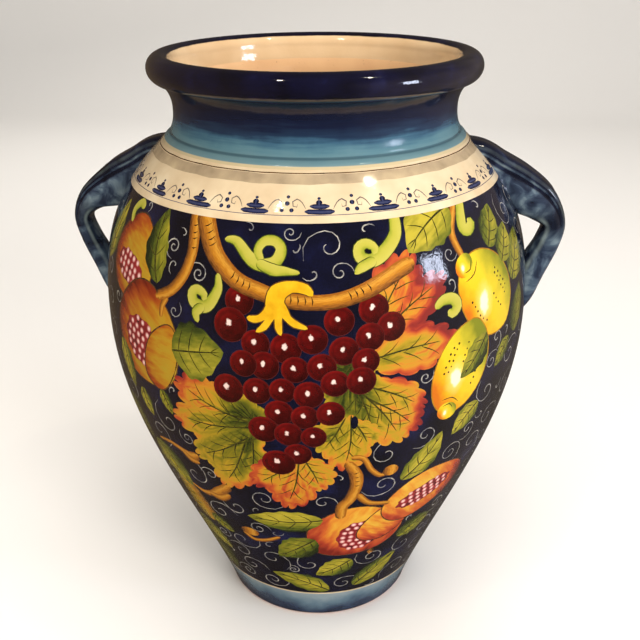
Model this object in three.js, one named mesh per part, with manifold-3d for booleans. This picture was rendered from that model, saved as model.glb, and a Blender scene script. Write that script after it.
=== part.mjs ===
// Two-handled maiolica jar, hand-built in thrown sections and luted together.
//
// Millimetres, +Z up. The jar stands on z = 0 with its axis on the Z axis.
// The handles lie along X, and the painted front faces -Y.
//
// Sections from the table up: base with its turned foot ring, lower belly,
// upper belly with the shoulder, neck collar, rolled rim. The belly is a hollow
// wall of even thickness. Two ear-shaped strap handles sit on the shoulder.

import * as THREE from 'three';
import { mergeVertices } from 'three/addons/utils/BufferGeometryUtils.js';
import Module from 'manifold-3d';

const wasm = await Module();
wasm.setup();

// Driving dimensions of the turned body, from the table up
const footRadius = 86;
const footSpread = 0.34;
const bellyRadius = 180.7;
const bellyHeight = 290.7;
const shoulderRise = 142.4;
const neckBaseRadius = 124.7;
const shoulderSlope = -1.1;
const waistRise = 23.2;
const waistRadius = 115.3;
const flareRise = 22.1;
const flareRadius = 124.1;
const flareSlope = 1.0;
const wall = 9;

// Heights where the sections are luted together
const neckBaseHeight = bellyHeight + shoulderRise;
const waistHeight = neckBaseHeight + waistRise;
const rimBaseHeight = waistHeight + flareRise;

// Base slab, turned underneath into a foot ring
const baseThickness = 14;
const footRingWidth = 12;
const footRecess = 3;
const footEdgeRound = 6;
const footBevel = 1;

// Bead and tooled groove round the bottom of the neck collar
const collarBeadHeight = 5;
const collarBeadProud = 0.9;
const collarGrooveDepth = 0.8;

// Rolled rim
const rimRollWidth = 10.3;
const rimRollHeight = 10.8;
const mouthInset = 6.8;
const mouthRadius = flareRadius - mouthInset;

// Handles: the strap at its bend, where it stands furthest from the wall. Both are pulled
// by hand, and the left one came out thinner on its inner side from the bend down.
const handleReach = 28;
const strapHalfWidth = 13;
const strapHalfThick = 10.5;
const strapSquareness = 2.8;
const rightThinning = 0;
const leftThinning = 0.32;
const handleSeatGap = 0.3;

// The strap's way round the ear, as shares of the driving dimensions: how far down the
// shoulder from the neck, how far out from the wall, how wide (along Y), how thick, and
// how much of the thinning it takes there
const strapStations = [
  { down: 0.15, out: -1.42, wide: 1.38, thick: 2, thins: 0 },
  { down: 0.16, out: -0.55, wide: 1.38, thick: 2.05, thins: 0 },
  { down: 0.225, out: -0.16, wide: 1.46, thick: 2.07, thins: 0 },
  { down: 0.3, out: 0.34, wide: 1.42, thick: 1.97, thins: 0 },
  { down: 0.385, out: 0.8, wide: 1.27, thick: 1.62, thins: 0.7 },
  { down: 0.505, out: 1, wide: 1, thick: 1.02, thins: 1 },
  { down: 0.64, out: 0.7, wide: 1, thick: 1, thins: 1 },
  { down: 0.808, out: 0.2, wide: 1.15, thick: 1.1, thins: 1 },
  { down: 0.955, out: -0.02, wide: 1.15, thick: 0.81, thins: 0.5 },
  { down: 1.046, out: -0.2, wide: 0.88, thick: 0.52, thins: 0 },
];

// Fineness of the facets
const turnSegments = 64;
const handleSteps = 22;
const handleSides = 16;
const lowerSteps = 10;
const upperSteps = 8;
const neckSteps = 4;
const rollOutsideSteps = 9;
const rollInsideSteps = 4;
const rimInnerSteps = 3;

// Cubic curve between two heights that leaves and arrives at the given slopes
function easedRadius(z, from, to) {
  const span = to.z - from.z;
  const t = (z - from.z) / span;
  const radius = (2 * t ** 3 - 3 * t ** 2 + 1) * from.r
    + (t ** 3 - 2 * t ** 2 + t) * from.slope * span
    + (-2 * t ** 3 + 3 * t ** 2) * to.r
    + (t ** 3 - t ** 2) * to.slope * span;
  const slope = ((6 * t ** 2 - 6 * t) * (from.r - to.r)) / span
    + (3 * t ** 2 - 4 * t + 1) * from.slope
    + (3 * t ** 2 - 2 * t) * to.slope;
  return { radius, slope };
}

// The five places that fix the jar's silhouette
const silhouette = [
  { z: 0, r: footRadius, slope: footSpread },
  { z: bellyHeight, r: bellyRadius, slope: 0 },
  { z: neckBaseHeight, r: neckBaseRadius, slope: shoulderSlope },
  { z: waistHeight, r: waistRadius, slope: 0 },
  { z: rimBaseHeight, r: flareRadius, slope: flareSlope },
];

function outerWall(z) {
  const last = silhouette.length - 2;
  const index = silhouette.findIndex((place, i) => i > 0 && z <= place.z) - 1;
  const part = index < 0 ? last : index;
  return easedRadius(z, silhouette[part], silhouette[part + 1]);
}

function outerRadius(z) {
  return outerWall(z).radius;
}

// The wall is even when measured square to its surface
function innerRadius(z) {
  const { radius, slope } = outerWall(z);
  return radius - wall * Math.hypot(1, slope);
}

function heights(bottom, top, steps) {
  return Array.from({ length: steps + 1 }, (_, i) => bottom + ((top - bottom) * i) / steps);
}

// A closed outline in (radius, height), counter-clockwise, turned about the jar's axis
function turned(outline) {
  const points = outline.map(([r, z]) => new THREE.Vector2(r, z));
  const geometry = new THREE.LatheGeometry(points, turnSegments);
  geometry.rotateX(Math.PI / 2);
  return geometry;
}

function closedOutline(outline) {
  return [...outline, outline[0]];
}

function wallSection(levels) {
  const outside = levels.map((z) => [outerRadius(z), z]);
  const inside = [...levels].reverse().map((z) => [innerRadius(z), z]);
  return turned(closedOutline([...outside, ...inside]));
}

// Base slab: it closes the jar, and its underside is hollowed inside the foot ring
function baseSlab() {
  const standRadius = outerRadius(0) - footEdgeRound;
  const ringInside = standRadius - footRingWidth;
  const edge = [30, 60].map((degrees) => {
    const turn = (degrees * Math.PI) / 180;
    const z = footEdgeRound * (1 - Math.cos(turn));
    return [standRadius + (outerRadius(footEdgeRound) - standRadius) * Math.sin(turn), z];
  });
  return turned([
    [0, footRecess],
    [ringInside - footBevel, footRecess],
    [ringInside, 0],
    [standRadius, 0],
    ...edge,
    [outerRadius(footEdgeRound), footEdgeRound],
    [outerRadius(baseThickness), baseThickness],
    [0, baseThickness],
  ]);
}

// Neck collar: a tooled groove and a soft bead run round it just above the shoulder
function neckCollar() {
  const lower = heights(neckBaseHeight, waistHeight, neckSteps);
  const upper = heights(waistHeight, rimBaseHeight, neckSteps + 1).slice(1);
  const beadTop = neckBaseHeight + collarBeadHeight;
  const bead = [
    [outerRadius(neckBaseHeight), neckBaseHeight],
    [outerRadius(neckBaseHeight) + collarBeadProud, neckBaseHeight + collarBeadHeight * 0.3],
    [outerRadius(beadTop) + collarBeadProud, beadTop - collarBeadHeight * 0.3],
    [outerRadius(beadTop) - collarGrooveDepth, beadTop],
  ];
  const aboveBead = [...lower, ...upper].filter((z) => z > beadTop + collarGrooveDepth);
  const inside = [...lower, ...upper].reverse().map((z) => [innerRadius(z), z]);
  return turned(closedOutline([...bead, ...aboveBead.map((z) => [outerRadius(z), z]), ...inside]));
}

// Rolled rim: a round roll hangs outward over the neck, and the mouth runs up into it
function rolledRim() {
  const rollCentre = rimBaseHeight + rimRollHeight;
  const mouthAngle = Math.PI - Math.acos(Math.min(1, (flareRadius - mouthRadius) / rimRollWidth));
  const rollAngles = [
    ...heights(-Math.PI / 2, Math.PI / 2, rollOutsideSteps),
    ...heights(Math.PI / 2, mouthAngle, rollInsideSteps).slice(1),
  ];
  const roll = rollAngles.map((angle) => [
    flareRadius + rimRollWidth * Math.cos(angle),
    rollCentre + rimRollHeight * Math.sin(angle),
  ]);
  const mouthTop = roll[roll.length - 1];
  const neckMouth = innerRadius(rimBaseHeight);
  const mouth = heights(0, 1, rimInnerSteps).slice(1).map((t) => [
    mouthTop[0] + (neckMouth - mouthTop[0]) * t ** 1.5,
    mouthTop[1] + (rimBaseHeight - mouthTop[1]) * t,
  ]);
  return turned(closedOutline([...roll, ...mouth]));
}

function toSolid(geometry) {
  const bare = geometry.clone();
  bare.deleteAttribute('normal');
  bare.deleteAttribute('uv');
  const merged = mergeVertices(bare, 1e-4);
  return new wasm.Manifold(new wasm.Mesh({
    numProp: 3,
    vertProperties: new Float32Array(merged.attributes.position.array),
    triVerts: new Uint32Array(merged.index.array),
  }));
}

function toGeometry(solid) {
  const mesh = solid.getMesh();
  const geometry = new THREE.BufferGeometry();
  geometry.setAttribute('position', new THREE.BufferAttribute(mesh.vertProperties, 3));
  geometry.setIndex(new THREE.BufferAttribute(mesh.triVerts, 1));
  geometry.computeVertexNormals();
  return geometry;
}

// The space that the body fills, a seat's gap larger, to cut the handles' roots to it
function bodyEnvelope() {
  const levels = [
    ...heights(0, bellyHeight, lowerSteps),
    ...heights(bellyHeight, neckBaseHeight, upperSteps).slice(1),
    ...heights(neckBaseHeight, rimBaseHeight, neckSteps).slice(1),
  ];
  const outline = levels.map((z) => {
    const { radius, slope } = outerWall(z);
    return [radius + handleSeatGap * Math.hypot(1, slope), z];
  });
  return toSolid(turned([[0, 0], ...outline, [0, rimBaseHeight]]));
}

// Ear handle: a strap lofted from a broad root on the shoulder, over a narrow bend
// and down to a flattened end pressed on the belly
function strapLoft(thinning) {
  const centre = new THREE.CatmullRomCurve3(strapStations.map(({ down, out, thick, thins }) => {
    const z = neckBaseHeight - down * shoulderRise;
    const lost = thick * strapHalfThick * thins * thinning;
    return new THREE.Vector3(outerRadius(z) + out * handleReach + lost, 0, z);
  }));
  const section = new THREE.CatmullRomCurve3(strapStations.map(({ wide, thick, thins }) => {
    const halfThick = thick * strapHalfThick * (1 - thins * thinning);
    return new THREE.Vector3(wide * strapHalfWidth, halfThick, 0);
  }));
  const positions = [];
  const indices = [];
  for (let i = 0; i <= handleSteps; i += 1) {
    const t = i / handleSteps;
    const middle = centre.getPoint(t);
    const along = centre.getTangent(t);
    const size = section.getPoint(t);
    for (let j = 0; j < handleSides; j += 1) {
      const angle = (2 * Math.PI * j) / handleSides;
      const power = 2 / strapSquareness;
      const across = size.x * Math.sign(Math.cos(angle)) * Math.abs(Math.cos(angle)) ** power;
      const outward = size.y * Math.sign(Math.sin(angle)) * Math.abs(Math.sin(angle)) ** power;
      positions.push(middle.x - along.z * outward, across, middle.z + along.x * outward);
    }
  }
  for (let i = 0; i < handleSteps; i += 1) {
    for (let j = 0; j < handleSides; j += 1) {
      const next = (j + 1) % handleSides;
      const a = i * handleSides + j;
      const b = i * handleSides + next;
      const c = (i + 1) * handleSides + next;
      const d = (i + 1) * handleSides + j;
      indices.push(a, b, c, a, c, d);
    }
  }
  const lastRing = handleSteps * handleSides;
  for (let j = 1; j < handleSides - 1; j += 1) {
    indices.push(0, j + 1, j);
    indices.push(lastRing, lastRing + j, lastRing + j + 1);
  }
  const geometry = new THREE.BufferGeometry();
  geometry.setAttribute('position', new THREE.Float32BufferAttribute(positions, 3));
  geometry.setIndex(indices);
  return geometry;
}

function strapHandle(thinning) {
  const strap = toSolid(strapLoft(thinning));
  return toGeometry(strap.subtract(bodyEnvelope()));
}

// Glaze colours of the fired jar
const glaze = (color, roughness) => new THREE.MeshStandardMaterial({ color, roughness, metalness: 0 });
const groundGlaze = glaze('#14163a', 0.12);
const shoulderGlaze = glaze('#1a1d45', 0.12);
const collarGlaze = glaze('#4f8ba0', 0.14);
const rimGlaze = glaze('#10123a', 0.1);
const footGlaze = glaze('#47708c', 0.16);
const handleGlaze = glaze('#33435f', 0.16);

function piece(name, geometry, material) {
  const mesh = new THREE.Mesh(geometry, material);
  mesh.name = name;
  return mesh;
}

const jar = new THREE.Group();
jar.add(piece('base', baseSlab(), footGlaze));
jar.add(piece('lower_belly', wallSection(heights(baseThickness, bellyHeight, lowerSteps)), groundGlaze));
jar.add(piece('upper_belly', wallSection(heights(bellyHeight, neckBaseHeight, upperSteps)), shoulderGlaze));
jar.add(piece('neck_collar', neckCollar(), collarGlaze));
jar.add(piece('rolled_rim', rolledRim(), rimGlaze));

const rightHandle = piece('handle_right', strapHandle(rightThinning), handleGlaze);
const leftHandle = piece('handle_left', strapHandle(leftThinning), handleGlaze);
leftHandle.rotation.z = Math.PI;
jar.add(rightHandle, leftHandle);

export default jar;
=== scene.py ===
# Two-handled maiolica jar: its glazed and painted pieces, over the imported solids.
import math
import random

import bpy
import numpy as np
from mathutils import Matrix, Vector
from mathutils.geometry import delaunay_2d_cdt


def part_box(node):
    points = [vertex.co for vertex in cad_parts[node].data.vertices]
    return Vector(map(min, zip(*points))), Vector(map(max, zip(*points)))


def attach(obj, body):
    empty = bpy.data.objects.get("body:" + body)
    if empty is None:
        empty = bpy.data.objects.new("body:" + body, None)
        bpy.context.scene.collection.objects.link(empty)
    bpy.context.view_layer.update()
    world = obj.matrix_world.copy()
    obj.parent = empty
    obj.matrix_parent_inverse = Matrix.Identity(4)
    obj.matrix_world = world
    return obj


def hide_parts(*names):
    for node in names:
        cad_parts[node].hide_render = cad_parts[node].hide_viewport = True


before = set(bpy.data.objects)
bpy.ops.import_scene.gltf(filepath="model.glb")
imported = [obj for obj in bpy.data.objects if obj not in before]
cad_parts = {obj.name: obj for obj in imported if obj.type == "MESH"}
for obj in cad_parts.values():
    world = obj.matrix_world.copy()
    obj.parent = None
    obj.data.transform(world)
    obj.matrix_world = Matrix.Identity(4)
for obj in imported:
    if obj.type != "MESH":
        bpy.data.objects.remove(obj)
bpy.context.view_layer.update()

# Foot: the slab that the jar stands on, turned underneath into a ring. Red
# earthenware, dipped in blue glaze outside and wiped bare below, so that it
# doesn't stick to the kiln shelf.
MM = 0.001
FOOT_RADIUS = 86 * MM
FOOT_SPREAD = 0.34
NECK_BASE_RADIUS = 124.7 * MM
SHOULDER_SLOPE = -1.1
WAIST_RISE = 23.2 * MM
WAIST_RADIUS = 115.3 * MM
FLARE_RADIUS = 124.1 * MM
FLARE_SLOPE = 1.0
WALL = 9 * MM
FOOT_RING_WIDTH = 12 * MM
FOOT_RECESS = 3 * MM
FOOT_ROUND = 6 * MM
ROUND_STEPS = 8
FACES_DOWN = -0.75
FACES_UP = 0.9
FULL_TURN = 2 * math.pi
TURNS = 160

slab_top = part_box("base")[1].z
belly_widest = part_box("lower_belly")[1]
neck_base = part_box("upper_belly")[1].z
rim_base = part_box("neck_collar")[1].z
rim_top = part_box("rolled_rim")[1]

# Height, radius and slope at the places that fix the jar's outline
OUTLINE_PLACES = [
    (0.0, FOOT_RADIUS, FOOT_SPREAD),
    (belly_widest.z, belly_widest.x, 0.0),
    (neck_base, NECK_BASE_RADIUS, SHOULDER_SLOPE),
    (neck_base + WAIST_RISE, WAIST_RADIUS, 0.0),
    (rim_base, FLARE_RADIUS, FLARE_SLOPE),
]


def outer_wall(z):
    """The jar's outer radius at a height, and how fast it grows with height."""
    for start, end in zip(OUTLINE_PLACES, OUTLINE_PLACES[1:]):
        if z <= end[0]:
            break
    (z0, r0, slope0), (z1, r1, slope1) = start, end
    span = z1 - z0
    t = (z - z0) / span
    radius = (2 * t**3 - 3 * t**2 + 1) * r0 + (t**3 - 2 * t**2 + t) * slope0 * span
    radius += (3 * t**2 - 2 * t**3) * r1 + (t**3 - t**2) * slope1 * span
    slope = (6 * t**2 - 6 * t) * (r0 - r1) / span
    slope += (3 * t**2 - 4 * t + 1) * slope0 + (3 * t**2 - 2 * t) * slope1
    return radius, slope


def inner_wall(z):
    """The inner radius, for a wall of even thickness."""
    radius, slope = outer_wall(z)
    return radius - WALL * math.hypot(1, slope)


def between(low, high, steps):
    return [low + (high - low) * i / steps for i in range(steps + 1)]


def placed(name, points, faces):
    """A mesh object, put into the scene."""
    mesh = bpy.data.meshes.new(name)
    mesh.from_pydata(points, [], faces)
    made = bpy.data.objects.new(name, mesh)
    bpy.context.scene.collection.objects.link(made)
    return made


def new_piece(name, points, faces, bake_map, stroke_map, sharp_angle=38):
    """A piece with its unrolled map and the map that its brushwork follows."""
    piece = placed(name, points, faces)
    for layer, values in (("OFBake", bake_map), ("Stroke", stroke_map)):
        uv = piece.data.uv_layers.new(name=layer)
        uv.data.foreach_set("uv", np.array(values, np.float32).ravel())
    piece.data.shade_smooth()
    piece.data.set_sharp_from_angle(angle=math.radians(sharp_angle))
    return piece


def turned(name, outline):
    """Spins a closed outline of (radius, height) points, counter-clockwise, about the axis."""
    runs = [math.dist(a, b) for a, b in zip(outline, outline[1:] + outline[:1])]
    shares = np.concatenate(([0], np.cumsum(runs))) / sum(runs)
    points, rows = [], []
    for r, z in outline:
        if r == 0:
            rows.append([len(points)] * (TURNS + 1))
            points.append((0, 0, z))
            continue
        first = len(points)
        for j in range(TURNS):
            angle = FULL_TURN * j / TURNS
            points.append((r * math.sin(angle), -r * math.cos(angle), z))
        rows.append([first + j % TURNS for j in range(TURNS + 1)])
    faces, unrolled = [], []
    for i in range(len(outline)):
        k = (i + 1) % len(outline)
        if outline[i][0] == 0 and outline[k][0] == 0:
            continue
        for j in range(TURNS):
            loop = [(rows[i][j], j, i), (rows[i][j + 1], j + 1, i)]
            loop += [(rows[k][j + 1], j + 1, i + 1), (rows[k][j], j, i + 1)]
            kept = [c for n, c in enumerate(loop) if c[0] not in [d[0] for d in loop[:n]]]
            faces.append([c[0] for c in kept])
            unrolled += [(c[1] / TURNS, shares[c[2]]) for c in kept]
    return new_piece(name, points, faces, unrolled, unrolled)


def colour(code):
    """A colour from a swatch code, in the linear light that a shader works in."""
    parts = [int(code[i : i + 2], 16) / 255 for i in (1, 3, 5)]
    return [p / 12.92 if p <= 0.04045 else ((p + 0.055) / 1.055) ** 2.4 for p in parts] + [1]


class Amount:
    """Something that varies over a surface, for use in plain sums."""

    def __init__(self, glaze, socket):
        self.glaze, self.socket = glaze, socket

    def worked(self, how, *others):
        made = self.glaze.node("Math", dict(enumerate((self,) + others)), operation=how)
        return Amount(self.glaze, made.outputs[0])

    def __add__(self, other):
        return self.worked("ADD", other)

    def __sub__(self, other):
        return self.worked("SUBTRACT", other)

    def __mul__(self, other):
        return self.worked("MULTIPLY", other)

    def __truediv__(self, other):
        return self.worked("DIVIDE", other)

    def __pow__(self, power):
        return self.worked("POWER", power)

    def __abs__(self):
        return self.worked("ABSOLUTE")


def distance(x, y):
    return (x * x + y * y) ** 0.5


def feed(socket, value):
    """Gives a socket an amount, another link, a swatch code or a plain number."""
    if isinstance(value, Amount):
        value = value.socket
    if isinstance(value, bpy.types.NodeSocket):
        socket.id_data.links.new(value, socket)
    elif isinstance(value, str):
        socket.default_value = colour(value)
    else:
        socket.default_value = value


class Glaze:
    """A fired finish, with short ways to say what the brush and the kiln did to it."""

    def __init__(self, name, roughness=0.1, coat=0.5):
        self.material = bpy.data.materials.new(name)
        self.material.use_nodes = True
        self.tree = self.material.node_tree
        self.shader = self.tree.nodes["Principled BSDF"]
        self.shader.inputs["Roughness"].default_value = roughness
        self.shader.inputs["Coat Weight"].default_value = coat
        self.shader.inputs["Coat Roughness"].default_value = 0.05
        self.where = self.node("TexCoord").outputs["Object"]

    def node(self, kind, feeds=None, **settings):
        made = self.tree.nodes.new("ShaderNode" + kind)
        for name, value in settings.items():
            setattr(made, name, value)
        for socket, value in (feeds or {}).items():
            feed(made.inputs[socket], value)
        return made

    def mottle(self, scale, detail=2.0, where=None, warp=0.0):
        """Uneven colour or thickness, from 0 to 1, with blotches about 1/scale metres across."""
        place = self.where if where is None else where
        feeds = {"Vector": place, "Scale": scale, "Detail": detail, "Distortion": warp}
        return Amount(self, self.node("TexNoise", feeds).outputs["Fac"])

    def fade(self, value, low, high):
        """0 below low, 1 above high and an even change between."""
        feeds = {"Value": value, "From Min": low, "From Max": high}
        made = self.node("MapRange", feeds, interpolation_type="SMOOTHSTEP")
        return Amount(self, made.outputs["Result"])

    def blend(self, share, first, second, how="MIX"):
        feeds = {0: share, 6: first, 7: second}
        return self.node("Mix", feeds, data_type="RGBA", blend_type=how).outputs[2]

    def steps(self, value, *stops):
        """Colours that follow a value from 0 to 1."""
        made = self.node("ValToRGB", {"Fac": value})
        ramp = made.color_ramp
        ramp.elements[0].position = stops[0][0]
        ramp.elements[0].color = colour(stops[0][1])
        ramp.elements[1].position = stops[-1][0]
        ramp.elements[1].color = colour(stops[-1][1])
        for position, code in stops[1:-1]:
            ramp.elements.new(position).color = colour(code)
        return made.outputs["Color"]

    def parts(self, place):
        split = self.node("SeparateXYZ", {"Vector": place})
        return [Amount(self, split.outputs[axis]) for axis in "XYZ"]

    def xyz(self):
        return self.parts(self.where)

    def own(self, layer="Stroke"):
        """The patch's own two coordinates."""
        return self.parts(self.node("UVMap", uv_map=layer).outputs["UV"])[:2]

    def vector(self, *amounts):
        return self.node("CombineXYZ", dict(enumerate(amounts))).outputs[0]

    def streaks(self, along, across, fine=6.0):
        """Uneven colour drawn out along the brush's way, different in every patch."""
        seed = self.own("Hand")[0] * 40.0
        return self.mottle(1.6, 3.0, where=self.vector(along * 1.3, across * fine, seed))

    def fired(self, finish, ripple=0.35, pits=0.12):
        """Colours the piece and gives the glaze its soft waves and fine orange-peel skin."""
        feed(self.shader.inputs["Base Color"], finish)
        skin = self.mottle(55, 1.0) * ripple + self.mottle(420, 2.0) * pits
        bump = self.node("Bump", {"Height": skin, "Distance": MM, "Strength": 0.6})
        feed(self.shader.inputs["Normal"], bump.outputs["Normal"])
        feed(self.shader.inputs["Coat Normal"], bump.outputs["Normal"])
        return self.material


def bare_clay():
    clay = Glaze("bare_clay", roughness=0.85, coat=0.0)
    grain = clay.mottle(700, 3.0)
    tone = clay.steps(clay.mottle(40, 4.0), (0.3, "#a8583a"), (0.7, "#c07850"))
    return clay.fired(clay.blend(clay.fade(grain, 0.62, 0.7), tone, "#6f3a28"), pits=0.3)


def cream_inside():
    cream = Glaze("cream_inside", roughness=0.14)
    tone = cream.steps(cream.mottle(14, 3.0), (0.3, "#c49a70"), (0.55, "#d4ac80"), (0.8, "#dfbf96"))
    specks = cream.fade(cream.mottle(520, 1.0), 0.75, 0.8)
    return cream.fired(cream.blend(specks, tone, "#8a6a45"))


def foot_blue():
    glaze = Glaze("foot_blue")
    tone = glaze.xyz()[2] / FOOT_GLAZE_TOP + glaze.mottle(38, 4.0) * 0.9 - 0.45
    blues = ((0.0, "#1a1f30"), (0.3, "#34425a"), (0.6, "#5f7788"), (0.95, "#8b9ca4"))
    return glaze.fired(glaze.steps(tone, *blues))


def foot_outline():
    ring_outer = outer_wall(FOOT_ROUND)[0]
    ring_inner = ring_outer - FOOT_ROUND - FOOT_RING_WIDTH
    outline = [(0.0, FOOT_RECESS), (ring_inner - FOOT_RECESS, FOOT_RECESS), (ring_inner, 0.0)]
    for turn in between(-math.pi / 2, 0, ROUND_STEPS):
        r = ring_outer - FOOT_ROUND + FOOT_ROUND * math.cos(turn)
        outline.append((r, FOOT_ROUND + FOOT_ROUND * math.sin(turn)))
    outline += [(outer_wall(z)[0], z) for z in between(FOOT_ROUND, slab_top, ROUND_STEPS)[1:]]
    outline += [(inner_wall(slab_top), slab_top), (0.0, slab_top)]
    return outline


FOOT_GLAZE_TOP = 36 * MM
foot = turned("glazed_foot", foot_outline())
for finish in (foot_blue(), bare_clay(), cream_inside()):
    foot.data.materials.append(finish)
for face in foot.data.polygons:
    if face.normal.z < FACES_DOWN:
        face.material_index = 1
    elif face.normal.z > FACES_UP:
        face.material_index = 2
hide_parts("base")
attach(foot, "root")

# Belly: two thrown sections and the shoulder, luted into one hollow wall. White tin
# glaze, painted raw with high-fire colours: fruit and leaves on a dark blue ground
# filled with white scrolls, a blue band at the foot and a border round the shoulder.
SEAM = math.radians(-90)
GRID_AROUND = 128
GRID_UP = 60
INSIDE_ROWS = 24
PLANE_RADIUS = 150.0
SKIN_SHARE = 0.84
WALL_SAMPLES = 700

wall_heights = np.linspace(slab_top, neck_base, WALL_SAMPLES)
wall_sizes = np.array([outer_wall(z) for z in wall_heights])
wall_radii = wall_sizes[:, 0]
wall_slopes = wall_sizes[:, 1]
wall_runs = np.hypot(np.diff(wall_radii), np.diff(wall_heights))
wall_lengths = np.concatenate(([0.0], np.cumsum(wall_runs)))
wall_length = wall_lengths[-1]

# One seeded hand draws every unevenness, in the order in which things are painted
hand = random.Random(41)

# Each patch's outlines, paint, own map, seed and shade, and whether scrolls keep off it
painting = []


def spot(azimuth, height):
    """A place on the belly: azimuth in degrees right of the front, height in millimetres."""
    return math.radians(azimuth), float(np.interp(height * MM, wall_heights, wall_lengths))


def radius_at(length):
    return np.interp(length, wall_lengths, wall_radii)


def drawn(place, points, turn=0.0):
    """Points in millimetres right of and above a place, as places on the belly."""
    cos, sin = math.cos(turn), math.sin(turn)
    places = []
    for x, y in points:
        length = place[1] + (x * sin + y * cos) * MM
        places.append((place[0] + (x * cos - y * sin) * MM / float(radius_at(length)), length))
    return places


def shape(place, points, paint, turn=0.0, half=(1.0, 1.0), shade=0.5, covers=True, level=False):
    """A closed patch of one paint. Its own coordinates run from -1 to 1 over its half sizes."""
    tilt = 0.0 if level else turn

    def own(angles, lengths):
        x = (angles - place[0]) * radius_at(lengths) / MM
        y = (lengths - place[1]) / MM
        across = x * math.cos(tilt) + y * math.sin(tilt)
        up = y * math.cos(tilt) - x * math.sin(tilt)
        return across / half[0], up / half[1]

    outline = drawn(place, points, turn)
    painting.append(([outline], paint, own, (hand.random(), shade), covers))


def flowing(p0, p1, p2, p3, t):
    """A point between p1 and p2, on the smooth curve that goes through all four."""
    return [
        0.5 * (2 * b + (c - a) * t + (2 * a - 5 * b + 4 * c - d) * t**2
               + (3 * b - a - 3 * c + d) * t**3)
        for a, b, c, d in zip(p0, p1, p2, p3)
    ]


def smoothed(path, step):
    """A flowing curve through places, as (angle, length, share of the path) points."""
    curve = []
    count = len(path) - 1
    for i in range(count):
        p1, p2 = path[i], path[i + 1]
        run = (p2[0] - p1[0]) * radius_at(p1[1])
        pieces = max(1, round(math.hypot(run, p2[1] - p1[1]) / (step * MM)))
        for k in range(pieces):
            t = k / pieces
            angle, length = flowing(path[max(i - 1, 0)], p1, p2, path[min(i + 2, count)], t)
            curve.append((angle, length, (i + t) / count))
    curve.append((path[-1][0], path[-1][1], 1.0))
    return curve


THINNEST_HALF = 0.1 * MM


def segment_map(start, rail, half):
    """How far across a stroke, in half widths, and along it, in centimetres, places lie."""
    angle, length, reach, run, rise = rail[:5]

    def own(angles, lengths):
        x, y = (angles - angle) * reach, lengths - length
        return (y * run - x * rise) / half, (start + x * run + y * rise) / (10 * MM)

    return own


def stroke(path, widths, paint, shade=0.5, covers=False, step=4.0, plain=False):
    """A brush stroke through places, with its width in millimetres at even shares of its length."""
    curve = smoothed(path, step)
    shares = np.linspace(0, 1, len(widths))
    mood = (hand.random(), shade)
    rails = []
    hops = [((b[0] - a[0]) * radius_at(a[1]), b[1] - a[1]) for a, b in zip(curve, curve[1:])]
    gone = np.concatenate(([0.0], np.cumsum([math.hypot(*hop) for hop in hops])))
    for i, (angle, length, share) in enumerate(curve):
        before, after = curve[max(i - 1, 0)], curve[min(i + 1, len(curve) - 1)]
        reach = float(radius_at(length))
        run, rise = (after[0] - before[0]) * reach, after[1] - before[1]
        size = math.hypot(run, rise) or 1.0
        half = float(np.interp(share, shares, widths)) / 2 * MM
        end = min(1.0, min(gone[i], gone[-1] - gone[i]) / half)
        half *= max(0.3, math.sqrt(1 - (1 - end) ** 2))
        left = (-rise / size, run / size)
        rails.append((angle, length, reach, run / size, rise / size, left, half))
    travelled = 0.0
    for here, there in zip(rails, rails[1:]):
        corners = []
        for rail, side in ((here, 1), (here, -1), (there, -1), (there, 1)):
            angle, length, reach, _, _, left, half = rail
            corners.append((angle + side * left[0] * half / reach, length + side * left[1] * half))
        triangles = [corners[:3], [corners[0], corners[2], corners[3]]]
        half = max((here[6] + there[6]) / 2, THINNEST_HALF)
        own = None if plain else segment_map(travelled, here, half)
        painting.append((triangles, paint, own, mood, covers))
        travelled += math.hypot((there[0] - here[0]) * here[2], there[1] - here[1])


def circle(radius, sides=18, squash=1.0):
    turns = [FULL_TURN * i / sides for i in range(sides)]
    return [(radius * math.cos(a), radius * squash * math.sin(a)) for a in turns]


def laid(base, tip):
    """The middle, the length in millimetres and the direction of what grows from base to tip."""
    middle = ((base[0] + tip[0]) / 2, (base[1] + tip[1]) / 2)
    run = (tip[0] - base[0]) * float(radius_at(middle[1])) / MM
    rise = (tip[1] - base[1]) / MM
    return middle, math.hypot(run, rise), math.atan2(rise, run)


LEAF_STEPS = 24
LEAF_VEIN_PAIRS = 4


def leaf(base, tip, width, bend, shade):
    """A pointed leaf from its stalk to its tip, with a midrib and pairs of side veins."""
    middle, long, turn = laid(base, tip)

    def edge(t, side):
        swell = max(0.0, math.sin(math.pi * t**0.8)) ** 0.85
        half = width / 2 * swell * (1 + 0.06 * math.sin(9 * math.pi * t))
        return (t - 0.5) * long, 4 * bend * long * t * (1 - t) + side * half

    outline = [edge(t, -1) for t in between(0, 1, LEAF_STEPS)]
    outline += [edge(t, 1) for t in between(1, 0, LEAF_STEPS)[1:-1]]
    shape(middle, outline, "leaf", turn, (long / 2, width / 2), shade)
    rib = [edge(t, 0) for t in between(0, 0.93, 4)]
    stroke(drawn(middle, rib, turn), [1.7, 1.3, 0.6], "leaf_vein")
    for k in range(LEAF_VEIN_PAIRS):
        t = (k + 0.7) / (LEAF_VEIN_PAIRS + 0.8)
        for side in (-1, 1):
            start = edge(t, 0)
            end = edge(min(t + 0.17, 1), 0.78 * side)
            mid = ((start[0] + end[0]) / 2 - 0.02 * long, (start[1] + end[1]) / 2)
            stroke(drawn(middle, [start, mid, end], turn), [1.1, 0.9, 0.4], "leaf_vein")


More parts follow.
